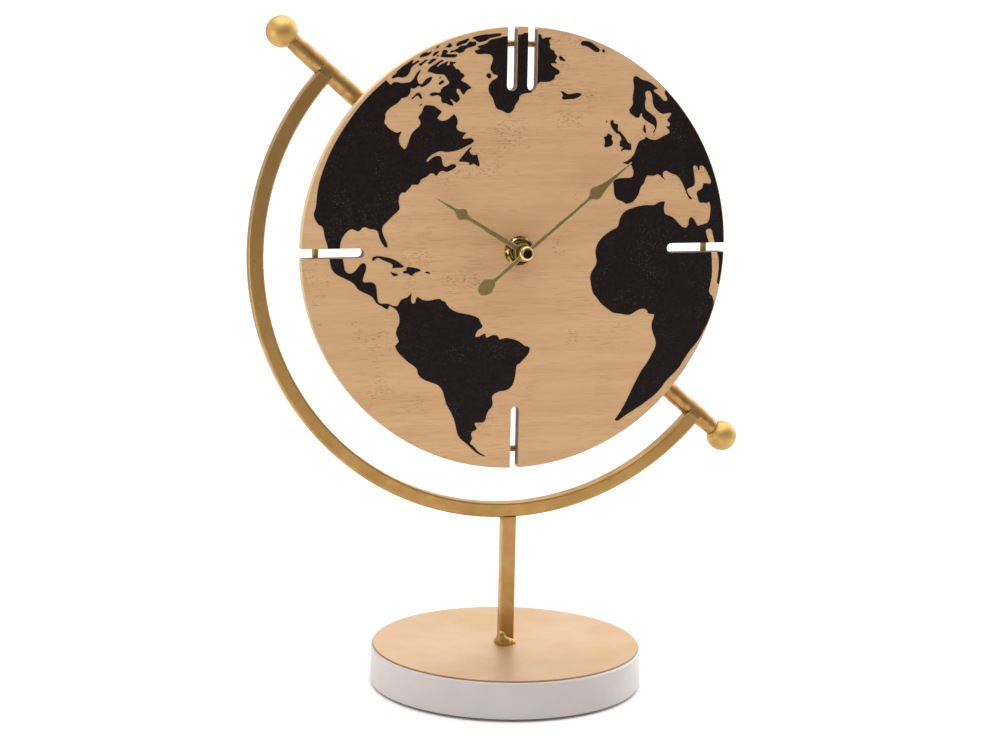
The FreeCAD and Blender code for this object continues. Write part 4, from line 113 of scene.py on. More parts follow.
@dataclass(frozen=True)
class Finish:
    """One real material and the way its surface was made.

    Colours are sRGB hex; shade is the colour of hollows and patches, worn_and_lit the colour of the edge
    strip: wear, and on the gold stand, the hands and the base also a painted highlight.
    Sizes are the real ones: of a patch of colour, of the fine texture across its grain and its height,
    of the edge strip of wear and painted highlight, and of the edge's rounding.
    """

    name: str
    colour: str
    shade: str
    worn_and_lit: str
    roughness: float
    metallic: float = 0.0
    grain: Grain = Grain.NONE
    patch_mm: float = 12.0
    texture_mm: float = 0.6
    relief_mm: float = 0.01
    edge_mm: float = 0.3
    edge_share: float = 0.4
    round_mm: float = 0.15
    edge_patch_mm: float = 3.0
    gloss_drift: float = 0.04
    gloss_grain: float = 0.03

    def material(self) -> bpy.types.Material:
        """Makes the material once, and gives it back each time."""
        made = bpy.data.materials.get(self.name)
        if made is None:
            made = bpy.data.materials.new(self.name)
            made.use_nodes = True
            tree = made.node_tree
            tree.nodes.clear()
            shader = add(tree, "BsdfPrincipled", {"Metallic": self.metallic})
            self.paint(tree, shader)
            add(tree, "OutputMaterial", {"Surface": shader.outputs[0]})
        return made

    def place(self, tree: Tree) -> Socket:
        """Gives the place on the object, in metres."""
        return add(tree, "TexCoord").outputs["Object"]

    def cells(self, tree: Tree, size_mm: float, grain: Grain = Grain.NONE, detail: float = 3.0) -> Socket:
        """Draws a cloudy pattern.

        Args:
            tree: the material's tree.
            size_mm: real size of one patch across the grain.
            grain: direction in which patches are long.
            detail: how much finer detail it carries.

        Returns:
            A value from 0 to 1.
        """
        mapped = add(tree, "Mapping", {"Vector": self.place(tree), "Scale": grain.value})
        return add(tree, "TexNoise", {"Vector": mapped.outputs[0], "Scale": 1 / (size_mm * MM),
                                      "Detail": detail}).outputs["Fac"]

    def edges_worn_and_lit(self, tree: Tree) -> Socket:
        """Finds the strip along sharp edges that hands and cloths rub first, and that also carries a painted
        highlight on the gold stand, the hands and the base.

        Args:
            tree: the material's tree.

        Returns:
            How much of the worn_and_lit colour shows: edge_share on the edge at most, and 0 on the flat.
        """
        soft = add(tree, "Bevel", {"Radius": self.edge_mm * MM}, samples=BEVEL_SAMPLES)
        flat = add(tree, "NewGeometry").outputs["Normal"]
        turn = add(tree, "VectorMath", {0: soft.outputs[0], 1: flat}, operation="DOT_PRODUCT")
        # This edge strip paints wear, and on the gold stand, the hands and the base also a painted highlight.
        strip = self.part(tree, turn.outputs["Value"], 0.0, 1.0, *EDGE_TURN)
        broken_up = self.part(tree, self.cells(tree, self.edge_patch_mm), 0.0, 1.0, *EDGE_PATCHY)
        patchy = add(tree, "Math", {0: strip, 1: broken_up}, operation="MULTIPLY").outputs[0]
        return add(tree, "Math", {0: patchy, 1: self.edge_share}, operation="MULTIPLY").outputs[0]

    def mixed(self, tree: Tree, share: Socket | float, first: Any, second: Any) -> Socket:
        """Mixes two colours.

        Args:
            tree: the material's tree.
            share: how much of the second.
            first: a socket or a hex colour.
            second: a socket or a hex colour.

        Returns:
            The mixed colour.
        """
        pair = [linear(c) if isinstance(c, str) else c for c in (first, second)]
        return add(tree, "Mix", {0: share, 6: pair[0], 7: pair[1]}, data_type="RGBA").outputs[2]

    def part(self, tree: Tree, value: Socket, low: float, high: float, start: float = 0.35,
             end: float = 0.65) -> Socket:
        """Stretches a value to a new range.

        Args:
            tree: the material's tree.
            value: what comes in.
            low: result at start and below.
            high: result at end and above.
            start: incoming value that gives low.
            end: incoming value that gives high.

        Returns:
            The stretched value.
        """
        return add(tree, "MapRange", {"Value": value, "From Min": start, "From Max": end, "To Min": low,
                                      "To Max": high}).outputs[0]

    def relief(self, tree: Tree, height: Socket, depth_mm: float) -> Socket:
        """Lets a pattern stand up from the surface, with its edges softened.

        Args:
            tree: the material's tree.
            height: the pattern.
            depth_mm: its real height.

        Returns:
            The shading normal.
        """
        under = add(tree, "Bevel", {"Radius": self.round_mm * MM}, samples=BEVEL_SAMPLES).outputs[0]
        return add(tree, "Bump", {"Height": height, "Distance": depth_mm * MM, "Strength": 1.0,
                                  "Normal": under}).outputs[0]

    def paint(self, tree: Tree, shader: bpy.types.Node) -> None:
        """Draws colour patches, edges with wear and painted highlight, uneven gloss and a fine relief.

        Args:
            tree: the material's tree.
            shader: its surface shader.
        """
        patches = self.cells(tree, self.patch_mm)
        body = self.mixed(tree, self.part(tree, patches, 0.0, 1.0), self.colour, self.shade)
        strip = self.edges_worn_and_lit(tree)
        fine = self.cells(tree, self.texture_mm, self.grain, 2.0)
        drift = self.part(tree, patches, -self.gloss_drift, self.gloss_drift)
        grainy = self.part(tree, fine, self.roughness - self.gloss_grain, self.roughness + self.gloss_grain)
        gloss = add(tree, "Math", {0: drift, 1: grainy}, operation="ADD")
        for name, value in (("Base Color", self.mixed(tree, strip, body, self.worn_and_lit)),
                            ("Roughness", gloss.outputs[0]),
                            ("Normal", self.relief(tree, fine, self.relief_mm))):
            tree.links.new(value, shader.inputs[name])


@dataclass(frozen=True)
class TurnedSheet(Finish):
    """Plated sheet faced on a lathe: rings pull each highlight into a radial sheen, and the rim carries a
    painted dark reflection.
    """

    ring_mm: float = 0.5
    ring_relief_mm: float = 0.004
    rim: str = "957458"
    rim_reach_mm: float = 64.75

    def paint(self, tree: Tree, shader: bpy.types.Node) -> None:
        """Adds the turning rings and the painted dark reflection at the rim to the plain finish.

        Args:
            tree: the material's tree.
            shader: its surface shader.
        """
        super().paint(tree, shader)
        flat = add(tree, "VectorMath", {0: self.place(tree), 1: (1.0, 1.0, 0.0)}, operation="MULTIPLY")
        reach = add(tree, "VectorMath", {0: flat.outputs[0]}, operation="LENGTH").outputs["Value"]
        # Real tool marks are about 0.1 mm apart. They are drawn five times as wide, so that they show.
        rings = add(tree, "TexNoise", {"W": reach, "Scale": 1 / (self.ring_mm * MM), "Detail": 2.0},
                    noise_dimensions="1D")
        tree.links.new(self.relief(tree, rings.outputs["Fac"], self.ring_relief_mm),
                       shader.inputs["Normal"])
        before = shader.inputs["Base Color"].links[0].from_socket
        # Painted dark reflection: the colour turns dark brown past rim_reach_mm, where the plate's edge
        # mirrors a dark room.
        rim = self.part(tree, reach, 0.0, 1.0, (self.rim_reach_mm - ZONE_SOFT_MM) * MM,
                        (self.rim_reach_mm + ZONE_SOFT_MM) * MM)
        tree.links.new(self.mixed(tree, rim, before, self.rim), shader.inputs["Base Color"])


@dataclass(frozen=True)
class WoodVeneer(Finish):
    """Sliced beech veneer under a matt clear coat: level bands, faint lines, and dark specks in rough spots.

    A span holds the pattern values where a mark starts to show, and where it is full.
    """

    fleck: str = "94693f"
    pale: str = "dcb489"
    speck: str = "6d4a2c"
    line_length_mm: float = 7.0
    line_width_mm: float = 0.4
    speck_length_mm: float = 1.7
    speck_width_mm: float = 0.55
    rough_patch_mm: float = 17.0
    band_mm: float = 9.0
    streak_mm: float = 1.1
    pale_share: float = 0.3
    pale_span: Span = (0.5, 0.75)
    line_shares: Span = (0.12, 0.42)
    line_span: Span = (0.54, 0.70)
    speck_share: float = 0.75
    speck_span: Span = (0.58, 0.64)
    rough_span: Span = (0.56, 0.68)
    gloss_swing: float = 0.05

    def marks(self, tree: Tree, width_mm: float, length_mm: float) -> Socket:
        """Draws short level marks.

        Args:
            tree: the material's tree.
            width_mm: real width of a mark.
            length_mm: its real length.

        Returns:
            A value from 0 to 1.
        """
        mapped = add(tree, "Mapping", {"Vector": self.place(tree),
                                       "Scale": (width_mm / length_mm, 1.0, 1.0)})
        return add(tree, "TexNoise", {"Vector": mapped.outputs[0], "Scale": 1 / (width_mm * MM),
                                      "Detail": 2.0}).outputs["Fac"]

    def paint(self, tree: Tree, shader: bpy.types.Node) -> None:
        """Draws the grain bands, faint lines all over, and rough spots with short dark specks.

        Args:
            tree: the material's tree.
            shader: its surface shader.
        """
        bands = self.cells(tree, self.band_mm, Grain.ALONG_X)
        wood = self.mixed(tree, self.part(tree, bands, 0.0, 1.0), self.colour, self.shade)
        streaks = self.cells(tree, self.streak_mm, Grain.ALONG_X, 4.0)
        light = self.part(tree, streaks, 0.0, self.pale_share, *self.pale_span)
        wood = self.mixed(tree, light, wood, self.pale)
        lines = self.marks(tree, self.line_width_mm, self.line_length_mm)
        specks = self.marks(tree, self.speck_width_mm, self.speck_length_mm)
        calm = self.part(tree, self.cells(tree, 2 * self.rough_patch_mm, Grain.NONE, 2.0), *self.line_shares)
        drawn = add(tree, "Math", {0: self.part(tree, lines, 0.0, 1.0, *self.line_span), 1: calm},
                    operation="MULTIPLY")
        wood = self.mixed(tree, drawn.outputs[0], wood, self.fleck)
        spots = self.cells(tree, self.rough_patch_mm, Grain.NONE, 3.0)
        rough = self.part(tree, spots, 0.0, self.speck_share, *self.rough_span)
        torn = add(tree, "Math", {0: self.part(tree, specks, 0.0, 1.0, *self.speck_span), 1: rough},
                   operation="MULTIPLY")
        wood = self.mixed(tree, torn.outputs[0], wood, self.speck)
        strip = self.edges_worn_and_lit(tree)
        gloss = self.part(tree, streaks, self.roughness - self.gloss_swing, self.roughness + self.gloss_swing)
        for name, value in (("Base Color", self.mixed(tree, strip, wood, self.worn_and_lit)),
                            ("Roughness", gloss), ("Normal", self.relief(tree, specks, self.relief_mm))):
            tree.links.new(value, shader.inputs[name])


@dataclass(frozen=True)
class PrintedInk(Finish):
    """Screen-printed solvent ink: nearly black brown, slightly mottled, with pale dust and a few pin holes.

    A reach is the size of a dot as a share of the distance between dots.
    """

    hole: str = "9a7a55"
    dust: str = "6a605b"
    dust_mm: float = 11.0
    speck_mm: float = 1.1
    dot_mm: float = 2.2
    shine: float = 0.12
    least_dust: float = 0.05
    dust_span: Span = (0.48, 0.68)
    speck_share: float = 0.55
    speck_reach: float = 0.26
    dot_share: float = 0.25
    dot_reach: float = 0.09

    def paint(self, tree: Tree, shader: bpy.types.Node) -> None:
        """Adds the dust and the pin holes to the plain finish.

        Args:
            tree: the material's tree.
            shader: its surface shader.
        """
        super().paint(tree, shader)
        shader.inputs["Specular IOR Level"].default_value = self.shine
        before = shader.inputs["Base Color"].links[0].from_socket
        clouds = self.cells(tree, self.dust_mm, Grain.NONE, 4.0)
        dusty = self.part(tree, clouds, self.least_dust, 1.0, *self.dust_span)
        for size, strength, reach, colour in (
                (self.speck_mm, self.speck_share, self.speck_reach, self.dust),
                (self.dot_mm, self.dot_share, self.dot_reach, self.hole)):
            dots = add(tree, "TexVoronoi", {"Vector": self.place(tree), "Scale": 1 / (size * MM)})
            dot = self.part(tree, dots.outputs["Distance"], strength, 0.0, reach / 2, reach)
            share = add(tree, "Math", {0: dot, 1: dusty}, operation="MULTIPLY").outputs[0]
            before = self.mixed(tree, share, before, colour)
        tree.links.new(before, shader.inputs["Base Color"])


@dataclass(frozen=True)
class CutBoard(Finish):
    """Routed fibreboard: a brown felted cut, and a paler rim round the dial that is painted light, the lit
    outer edge against the shaded slot walls.
    """

    rim: str = "d9bf97"
    rim_share: float = 0.9
    rim_reach_mm: float = 104.0
    centre_height_mm: float = 213.6

    def paint(self, tree: Tree, shader: bpy.types.Node) -> None:
        """Adds the painted light on the rim to the plain finish.

        Args:
            tree: the material's tree.
            shader: its surface shader.
        """
        super().paint(tree, shader)
        before = shader.inputs["Base Color"].links[0].from_socket
        middle = (0, 0, self.centre_height_mm * MM)
        moved = add(tree, "VectorMath", {0: self.place(tree), 1: middle}, operation="SUBTRACT")
        level = add(tree, "VectorMath", {0: moved.outputs[0], 1: (1, 0, 1)}, operation="MULTIPLY")
        reach = add(tree, "VectorMath", {0: level.outputs[0]}, operation="LENGTH").outputs["Value"]
        # Painted light: the board turns paler past rim_reach_mm, the lit outer edge, than in the shaded
        # slots.
        rim = self.part(tree, reach, 0.0, self.rim_share, (self.rim_reach_mm - ZONE_SOFT_MM) * MM,
                        (self.rim_reach_mm + ZONE_SOFT_MM) * MM)
        tree.links.new(self.mixed(tree, rim, before, self.rim), shader.inputs["Base Color"])


@dataclass(frozen=True)
class Felt(Finish):
    """Pressed wool felt: matt, with a short pile that lights up at a low angle."""

    pile: float = 0.5

    def paint(self, tree: Tree, shader: bpy.types.Node) -> None:
        """Adds the pile's sheen to the plain finish.

        Args:
            tree: the material's tree.
            shader: its surface shader.
        """
        super().paint(tree, shader)
        shader.inputs["Sheen Weight"].default_value = self.pile


@dataclass(frozen=True)
class Lacquer(Finish):
    """Sprayed two-part lacquer on turned fibreboard: smooth and pale, with a soft gloss and a slight ripple.

    coat is the weight of its clear top layer.
    """

    coat: float = 0.4
    coat_roughness: float = 0.25

    def paint(self, tree: Tree, shader: bpy.types.Node) -> None:
        """Adds the clear top coat to the plain finish.

        Args:
            tree: the material's tree.
            shader: its surface shader.
        """
        super().paint(tree, shader)
        shader.inputs["Coat Weight"].default_value = self.coat
        shader.inputs["Coat Roughness"].default_value = self.coat_roughness


@dataclass(frozen=True)
class WoundWire(Finish):
    """Fine wire laid side by side: ridges across the winding, each with its own thin highlight."""

    turn_mm: float = 0.4
    ridge_mm: float = 0.05

    def paint(self, tree: Tree, shader: bpy.types.Node) -> None:
        """Adds the turns to the plain finish.

        Args:
            tree: the material's tree.
            shader: its surface shader.
        """
        super().paint(tree, shader)
        # Real turns are about 0.1 mm apart. They are drawn four times as wide, so that they show.
        turns = add(tree, "TexWave", {"Vector": self.place(tree), "Scale": WAVE_STEP / (self.turn_mm * MM)},
                    bands_direction="X")
        tree.links.new(self.relief(tree, turns.outputs["Fac"], self.ridge_mm), shader.inputs["Normal"])


@dataclass(frozen=True)
class PrintedFilm(Finish):
    """Shrunk plastic film on a steel can: two plain printed zones with a bare steel rim at each end."""

    band: str = "9aa3ad"
    band_start_mm: float = 12.0
    steel_start_mm: float = 23.6

    def paint(self, tree: Tree, shader: bpy.types.Node) -> None:
        """Adds the zones along the cell to the plain finish.

        Args:
            tree: the material's tree.
            shader: its surface shader.
        """
        super().paint(tree, shader)
        before = shader.inputs["Base Color"].links[0].from_socket
        along = add(tree, "SeparateXYZ", {0: self.place(tree)}).outputs["X"]
        band, steel = (self.part(tree, along, 0.0, 1.0, start * MM, (start + ZONE_SOFT_MM) * MM)
                       for start in (self.band_start_mm, self.steel_start_mm))
        zones = self.mixed(tree, band, before, self.band)
        tree.links.new(self.mixed(tree, steel, zones, self.worn_and_lit), shader.inputs["Base Color"])


@dataclass(frozen=True)
class Plastic(Finish):
    """Injection-moulded plastic from a spark-eroded mould: even colour, a fine matt grain, paler edges."""


@dataclass(frozen=True)
class Metal(Finish):
    """Metal with its own tint in every reflection; patches and grain mark how it was rolled or polished."""


# The stand: steel bar, brass plated, then satin polished. Soft bright bands and a warm, slightly uneven tint.
# Its pale edge strip is partly wear and partly a painted highlight.
FRAME_GOLD = Metal("brass_plated_steel_satin", "b68f58", "a9824c", "e8d296", 0.33, 1.0, patch_mm=14.0,
                   texture_mm=3.5, relief_mm=0.008, edge_mm=0.5, edge_share=0.45, round_mm=0.3)
# The tubes: the same plating over filed welds. Dents and flats break the highlight into patches. Their pale
# edge strip is partly wear and partly a painted highlight.
TUBE_GOLD = Metal("brass_plated_steel_filed", "b68f58", "9a7340", "e8d296", 0.34, 1.0, patch_mm=5.0,
                  texture_mm=5.5, relief_mm=0.11, edge_mm=0.5, edge_share=0.5)
# The balls: turned, plated and buffed in a drum. Softer and rounder highlights than the bar.
BALL_GOLD = Metal("brass_plated_steel_tumbled", "c7a466", "bb9859", "e6d09a", 0.5, 1.0, patch_mm=6.0,
                  texture_mm=0.4, relief_mm=0.003)
# The base plate: plated sheet, faced on a lathe. Pale satin with a radial sheen and a painted dark reflection
# on its rim.
PLATE_GOLD = TurnedSheet("brass_plated_sheet_faced", "d4b592", "ccab84", "e8d0ae", 0.48, 1.0, patch_mm=30.0,
                         edge_mm=0.3)
# The base: turned fibreboard, lacquered. Pale pinkish white, with a paler edge strip that is partly wear and
# partly a painted highlight on the rounded rim.
BASE_LACQUER = Lacquer("fibreboard_lacquered_white", "beb6b3", "b9afab", "dcd5d2", 0.4, patch_mm=25.0,
                       texture_mm=1.2, relief_mm=0.008, edge_mm=0.8, edge_share=0.6)
# The pad under the base: pressed felt. Pale grey and matt, with a loose pile.
PAD_FELT = Felt("wool_felt_pressed", "a8a29d", "96908b", "c2bdb8", 0.95, patch_mm=3.0, texture_mm=0.35,
                relief_mm=0.15)
# The dial board: fibreboard cut with a router. Felted brown walls in the slots, and a rim painted paler as
# painted light on the lit outer edge.
FIBREBOARD = CutBoard("fibreboard_routed", "8f7a6c", "75635a", "a89382", 0.8, patch_mm=1.6, texture_mm=0.3,
                      relief_mm=0.03)
# The dial's face: sliced beech veneer under a matt clear coat. Level grain with rough, speckled spots.
VENEER = WoodVeneer("beech_veneer_matt_coated", "cda477", "c59a6d", "d6ae84", 0.55, relief_mm=0.012,
                    edge_mm=0.2, edge_share=0.3)
# The map: screen-printed ink. Nearly black brown with a dull gloss, pale dust and pin holes.
MAP_INK = PrintedInk("screen_ink_printed", "120b0a", "1c1413", "3a2f28", 0.6, patch_mm=1.4, texture_mm=0.5,
                     relief_mm=0.01, edge_mm=0.1, edge_share=0.3)
# The hands: stamped brass sheet, dulled and lacquered. Olive gold, with a near-white painted highlight laid
# along every edge at full share.
HAND_BRASS = Metal("brass_sheet_stamped", "9d8956", "8f7b4c", "fbf3d0", 0.39, 1.0, Grain.ALONG_X,
                   patch_mm=5.0, texture_mm=0.4, relief_mm=0.003, edge_mm=0.5, edge_share=1.0, round_mm=0.8)
# The hub's nut, washer and cap: turned brass, polished. A mirror with a gold tint.
POLISHED_BRASS = Metal("brass_turned_polished", "d8bb84", "ccad72", "f4e8c4", 0.1, 1.0, patch_mm=4.0,
                       texture_mm=0.4, relief_mm=0.001, edge_mm=0.1)
# Screws, bolt, spring and arbor: zinc-plated steel. Cool grey with a faint blotchy bloom.
ZINC_STEEL = Metal("steel_zinc_plated", "b4b7ba", "9ea3a8", "d8dadc", 0.34, 1.0, patch_mm=2.5,
                   texture_mm=0.4)
# The washer behind the dial: pressed nitrile rubber. Black, dull and slightly dusty.
SOFT_RUBBER = Plastic("nitrile_rubber_pressed", "1d1c1c", "2a2827", "444140", 0.8, patch_mm=4.0,
                      relief_mm=0.02)
# The movement's case and cover: moulded ABS. Black with the fine grain of an eroded mould.
CASE_PLASTIC = Plastic("abs_moulded_black", "1b1b1d", "222225", "3a3a3e", 0.45, patch_mm=9.0, texture_mm=0.35,
                       relief_mm=0.015, edge_mm=0.3, edge_share=0.5)
# The wheels: moulded acetal. Milky white, waxy and smooth.
GEAR_PLASTIC = Plastic("acetal_moulded", "e9e6da", "ddd9ca", "f6f4ec", 0.38, patch_mm=3.0, relief_mm=0.004,
                       edge_mm=0.1)
# The setting knob: moulded ABS, grey. Matt, paler where fingers rub its rim.
KNOB_PLASTIC = Plastic("abs_moulded_grey", "4b4d50", "414346", "7c7f83", 0.5, patch_mm=3.0, relief_mm=0.01)
# The rotor: sintered ferrite. Dark grey and grainy.
FERRITE = Plastic("ferrite_sintered", "3a3a3d", "2d2d30", "56565a", 0.6, 0.3, patch_mm=0.8, texture_mm=0.2,
                  relief_mm=0.02)
# The stator and coil core: stamped soft iron, rolled. Grey with fine rolling lines.
YOKE_IRON = Metal("soft_iron_rolled", "8f8f92", "7d7e82", "bcbcc0", 0.42, 1.0, Grain.ALONG_X, patch_mm=4.0,
                  texture_mm=0.3)
# The winding: enamelled copper wire. Red-brown with a varnish gloss.
COPPER_WIRE = WoundWire("copper_wire_enamelled", "b0602f", "964c22", "d68a55", 0.28, 1.0, patch_mm=1.5,
                    texture_mm=0.2, relief_mm=0.004)
# The bobbin: moulded nylon. Cream and slightly waxy.
BOBBIN_PLASTIC = Plastic("nylon_moulded", "d9cfae", "cdc19c", "ece5cd", 0.45, patch_mm=3.0, relief_mm=0.006)
# The circuit board: glass-fibre laminate under green resist. The weave shows faintly.
BOARD_LAMINATE = Plastic("glass_laminate_resist", "1f5a3a", "194c30", "8f8a5a", 0.4, patch_mm=2.0,
                         texture_mm=0.5, relief_mm=0.01)
# The chip: a drop of cured epoxy resin. Black, glossy and smoothly domed.
CHIP_RESIN = Plastic("epoxy_resin_cured", "141414", "1c1c1d", "2c2c2e", 0.18, patch_mm=2.0, relief_mm=0.004)
# The crystal: a drawn nickel-silver can. Bright with lines along the draw.
CRYSTAL_CAN = Metal("nickel_silver_drawn", "c9c6c0", "b7b4ae", "e6e4e0", 0.22, 1.0, Grain.ALONG_X,
                    patch_mm=2.0, texture_mm=0.25)
# The cell: a steel can in a printed plastic film. Slate blue with a pale band and a soft sheen.
CELL_JACKET = PrintedFilm("steel_can_film_wrapped", "2f4a66", "2a425c", "b9bcc0", 0.28, 0.35, patch_mm=8.0,
                          relief_mm=0.004)
# The contacts: nickel-plated spring steel. Bright grey.
CONTACT_STEEL = Metal("spring_steel_nickel_plated", "c2bfb8", "aeaba4", "e0ded9", 0.25, 1.0, patch_mm=2.0,
                      texture_mm=0.3)


def dress(finish: Finish, *names: str) -> None:
    """Gives CAD nodes their finish.

    Args:
        finish: what they are made of.
        names: the nodes.
    """
    for name in names:
        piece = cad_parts[name]
        piece.data.materials.clear()
        piece.data.materials.append(finish.material())
        log.info("%s dressed in %s", name, finish.name)


def mesh_piece(name: str, draw: Callable[[bmesh.types.BMesh], None], finish: Finish) -> bpy.types.Object:
    """Makes a new piece from mesh code.

    Args:
        name: the piece's name.
        draw: fills the mesh.
        finish: what the piece is made of.

    Returns:
        The new object, at the origin.
    """
    mesh = bpy.data.meshes.new(name)
    work = bmesh.new()
    draw(work)
    bmesh.ops.recalc_face_normals(work, faces=work.faces)
    work.to_mesh(mesh)
    work.free()
    mesh.materials.append(finish.material())
    piece = bpy.data.objects.new(name, mesh)
    bpy.context.scene.collection.objects.link(piece)
    log.info("%s drawn in %s with %d faces", name, finish.name, len(mesh.polygons))
    return piece


@dataclass
class Stand:
    """Base, stem, arc, axis tubes and balls.

    foot_height is the top of the base plate. join_size is the grain at which the weld's lumps run together.
    """

    gold: tuple[str, ...] = ("stem", "stem_foot_weld", "stem_head_weld", "meridian_arc", "backing_ring",
                             "fixing_tabs")
    filed: tuple[str, ...] = ("arc_weld_upper", "arc_weld_lower", "axis_tube_upper", "axis_tube_lower")
    foot_height: float = 19.7 * MM
    lumps: tuple[tuple[float, float, float, float], ...] = (
        (-3.1, -2.8, 4.3, 2.2), (-2.8, -2.9, 2.0, 2.9), (-0.6, -3.5, 0.8, 2.6), (1.5, -3.4, 0.5, 1.9),
        (3.1, -2.8, 0.2, 1.4), (-4.1, -0.8, 0.5, 1.7), (-3.9, 2.0, 0.3, 1.4), (3.9, 0.6, 0.2, 1.2),
        (0.2, 3.4, 0.3, 1.4))
    lump_cuts: int = 3
    lump_stretch: float = 1.25
    join_size: float = 0.28 * MM
    smooth_share: float = 0.5
    smooth_rounds: int = 8

    def foot_weld(self) -> None:
        """Builds the weld round the foot of the stem from lumps that run into each other.

        Each lump has its place across, its place in depth, its height above the plate and its radius, in mm.
        """

        def draw(work: bmesh.types.BMesh) -> None:
            """Draws the lumps.

            Args:
                work: the mesh to fill.
            """
            for across, deep, up, size in self.lumps:
                place = Matrix.Translation((across * MM, deep * MM, self.foot_height + up * MM))
                stretch = Matrix.Diagonal((1.0, 1.0, self.lump_stretch, 1.0))
                bmesh.ops.create_icosphere(work, subdivisions=self.lump_cuts, radius=size * MM,
                                           matrix=place @ stretch)
            whole = work.verts[:] + work.edges[:] + work.faces[:]
            flat = bmesh.ops.bisect_plane(work, geom=whole, plane_co=(0, 0, self.foot_height),
                                          plane_no=(0, 0, 1), clear_inner=True)
            rim = [e for e in flat["geom_cut"] if isinstance(e, bmesh.types.BMEdge)]
            bmesh.ops.holes_fill(work, edges=rim)

        weld = mesh_piece("foot_weld_lumps", draw, FRAME_GOLD)
        join = weld.modifiers.new("run_together", "REMESH")
        join.mode, join.voxel_size, join.use_smooth_shade = "VOXEL", self.join_size, True
        even = weld.modifiers.new("even_out", "SMOOTH")
        even.factor, even.iterations = self.smooth_share, self.smooth_rounds
        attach(weld, "stand")
        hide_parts("stem_foot_weld")

    def dress(self) -> None:
        """Dresses the stand's nodes."""
        self.foot_weld()
        dress(FRAME_GOLD, *self.gold)
        dress(TUBE_GOLD, *self.filed)
        dress(BALL_GOLD, "ball_upper", "ball_lower")
        dress(PLATE_GOLD, "base_top_plate")
        dress(BASE_LACQUER, "base_block")
        dress(PAD_FELT, "base_pad")
        dress(ZINC_STEEL, "base_washer", "base_bolt", "tab_screws")


@dataclass
class Dial:
    """Board, veneer and printed map, all of them CAD nodes."""

    def dress(self) -> None:
        """Dresses the dial's nodes."""
        dress(FIBREBOARD, "dial_board")
        dress(VENEER, "dial_veneer")
        dress(MAP_INK, "map_print")


@dataclass
class Hands:
    """Hands, cap nut and the hub's nut and washers, all of them CAD nodes."""

    stamped: tuple[str, ...] = ("hour_hand", "minute_hand")
    turned: tuple[str, ...] = ("cap_nut", "hub_nut", "hub_washer")

    def dress(self) -> None:
        """Dresses the hands and the hub."""
        dress(HAND_BRASS, *self.stamped)
        dress(POLISHED_BRASS, *self.turned)
        dress(SOFT_RUBBER, "rubber_washer")


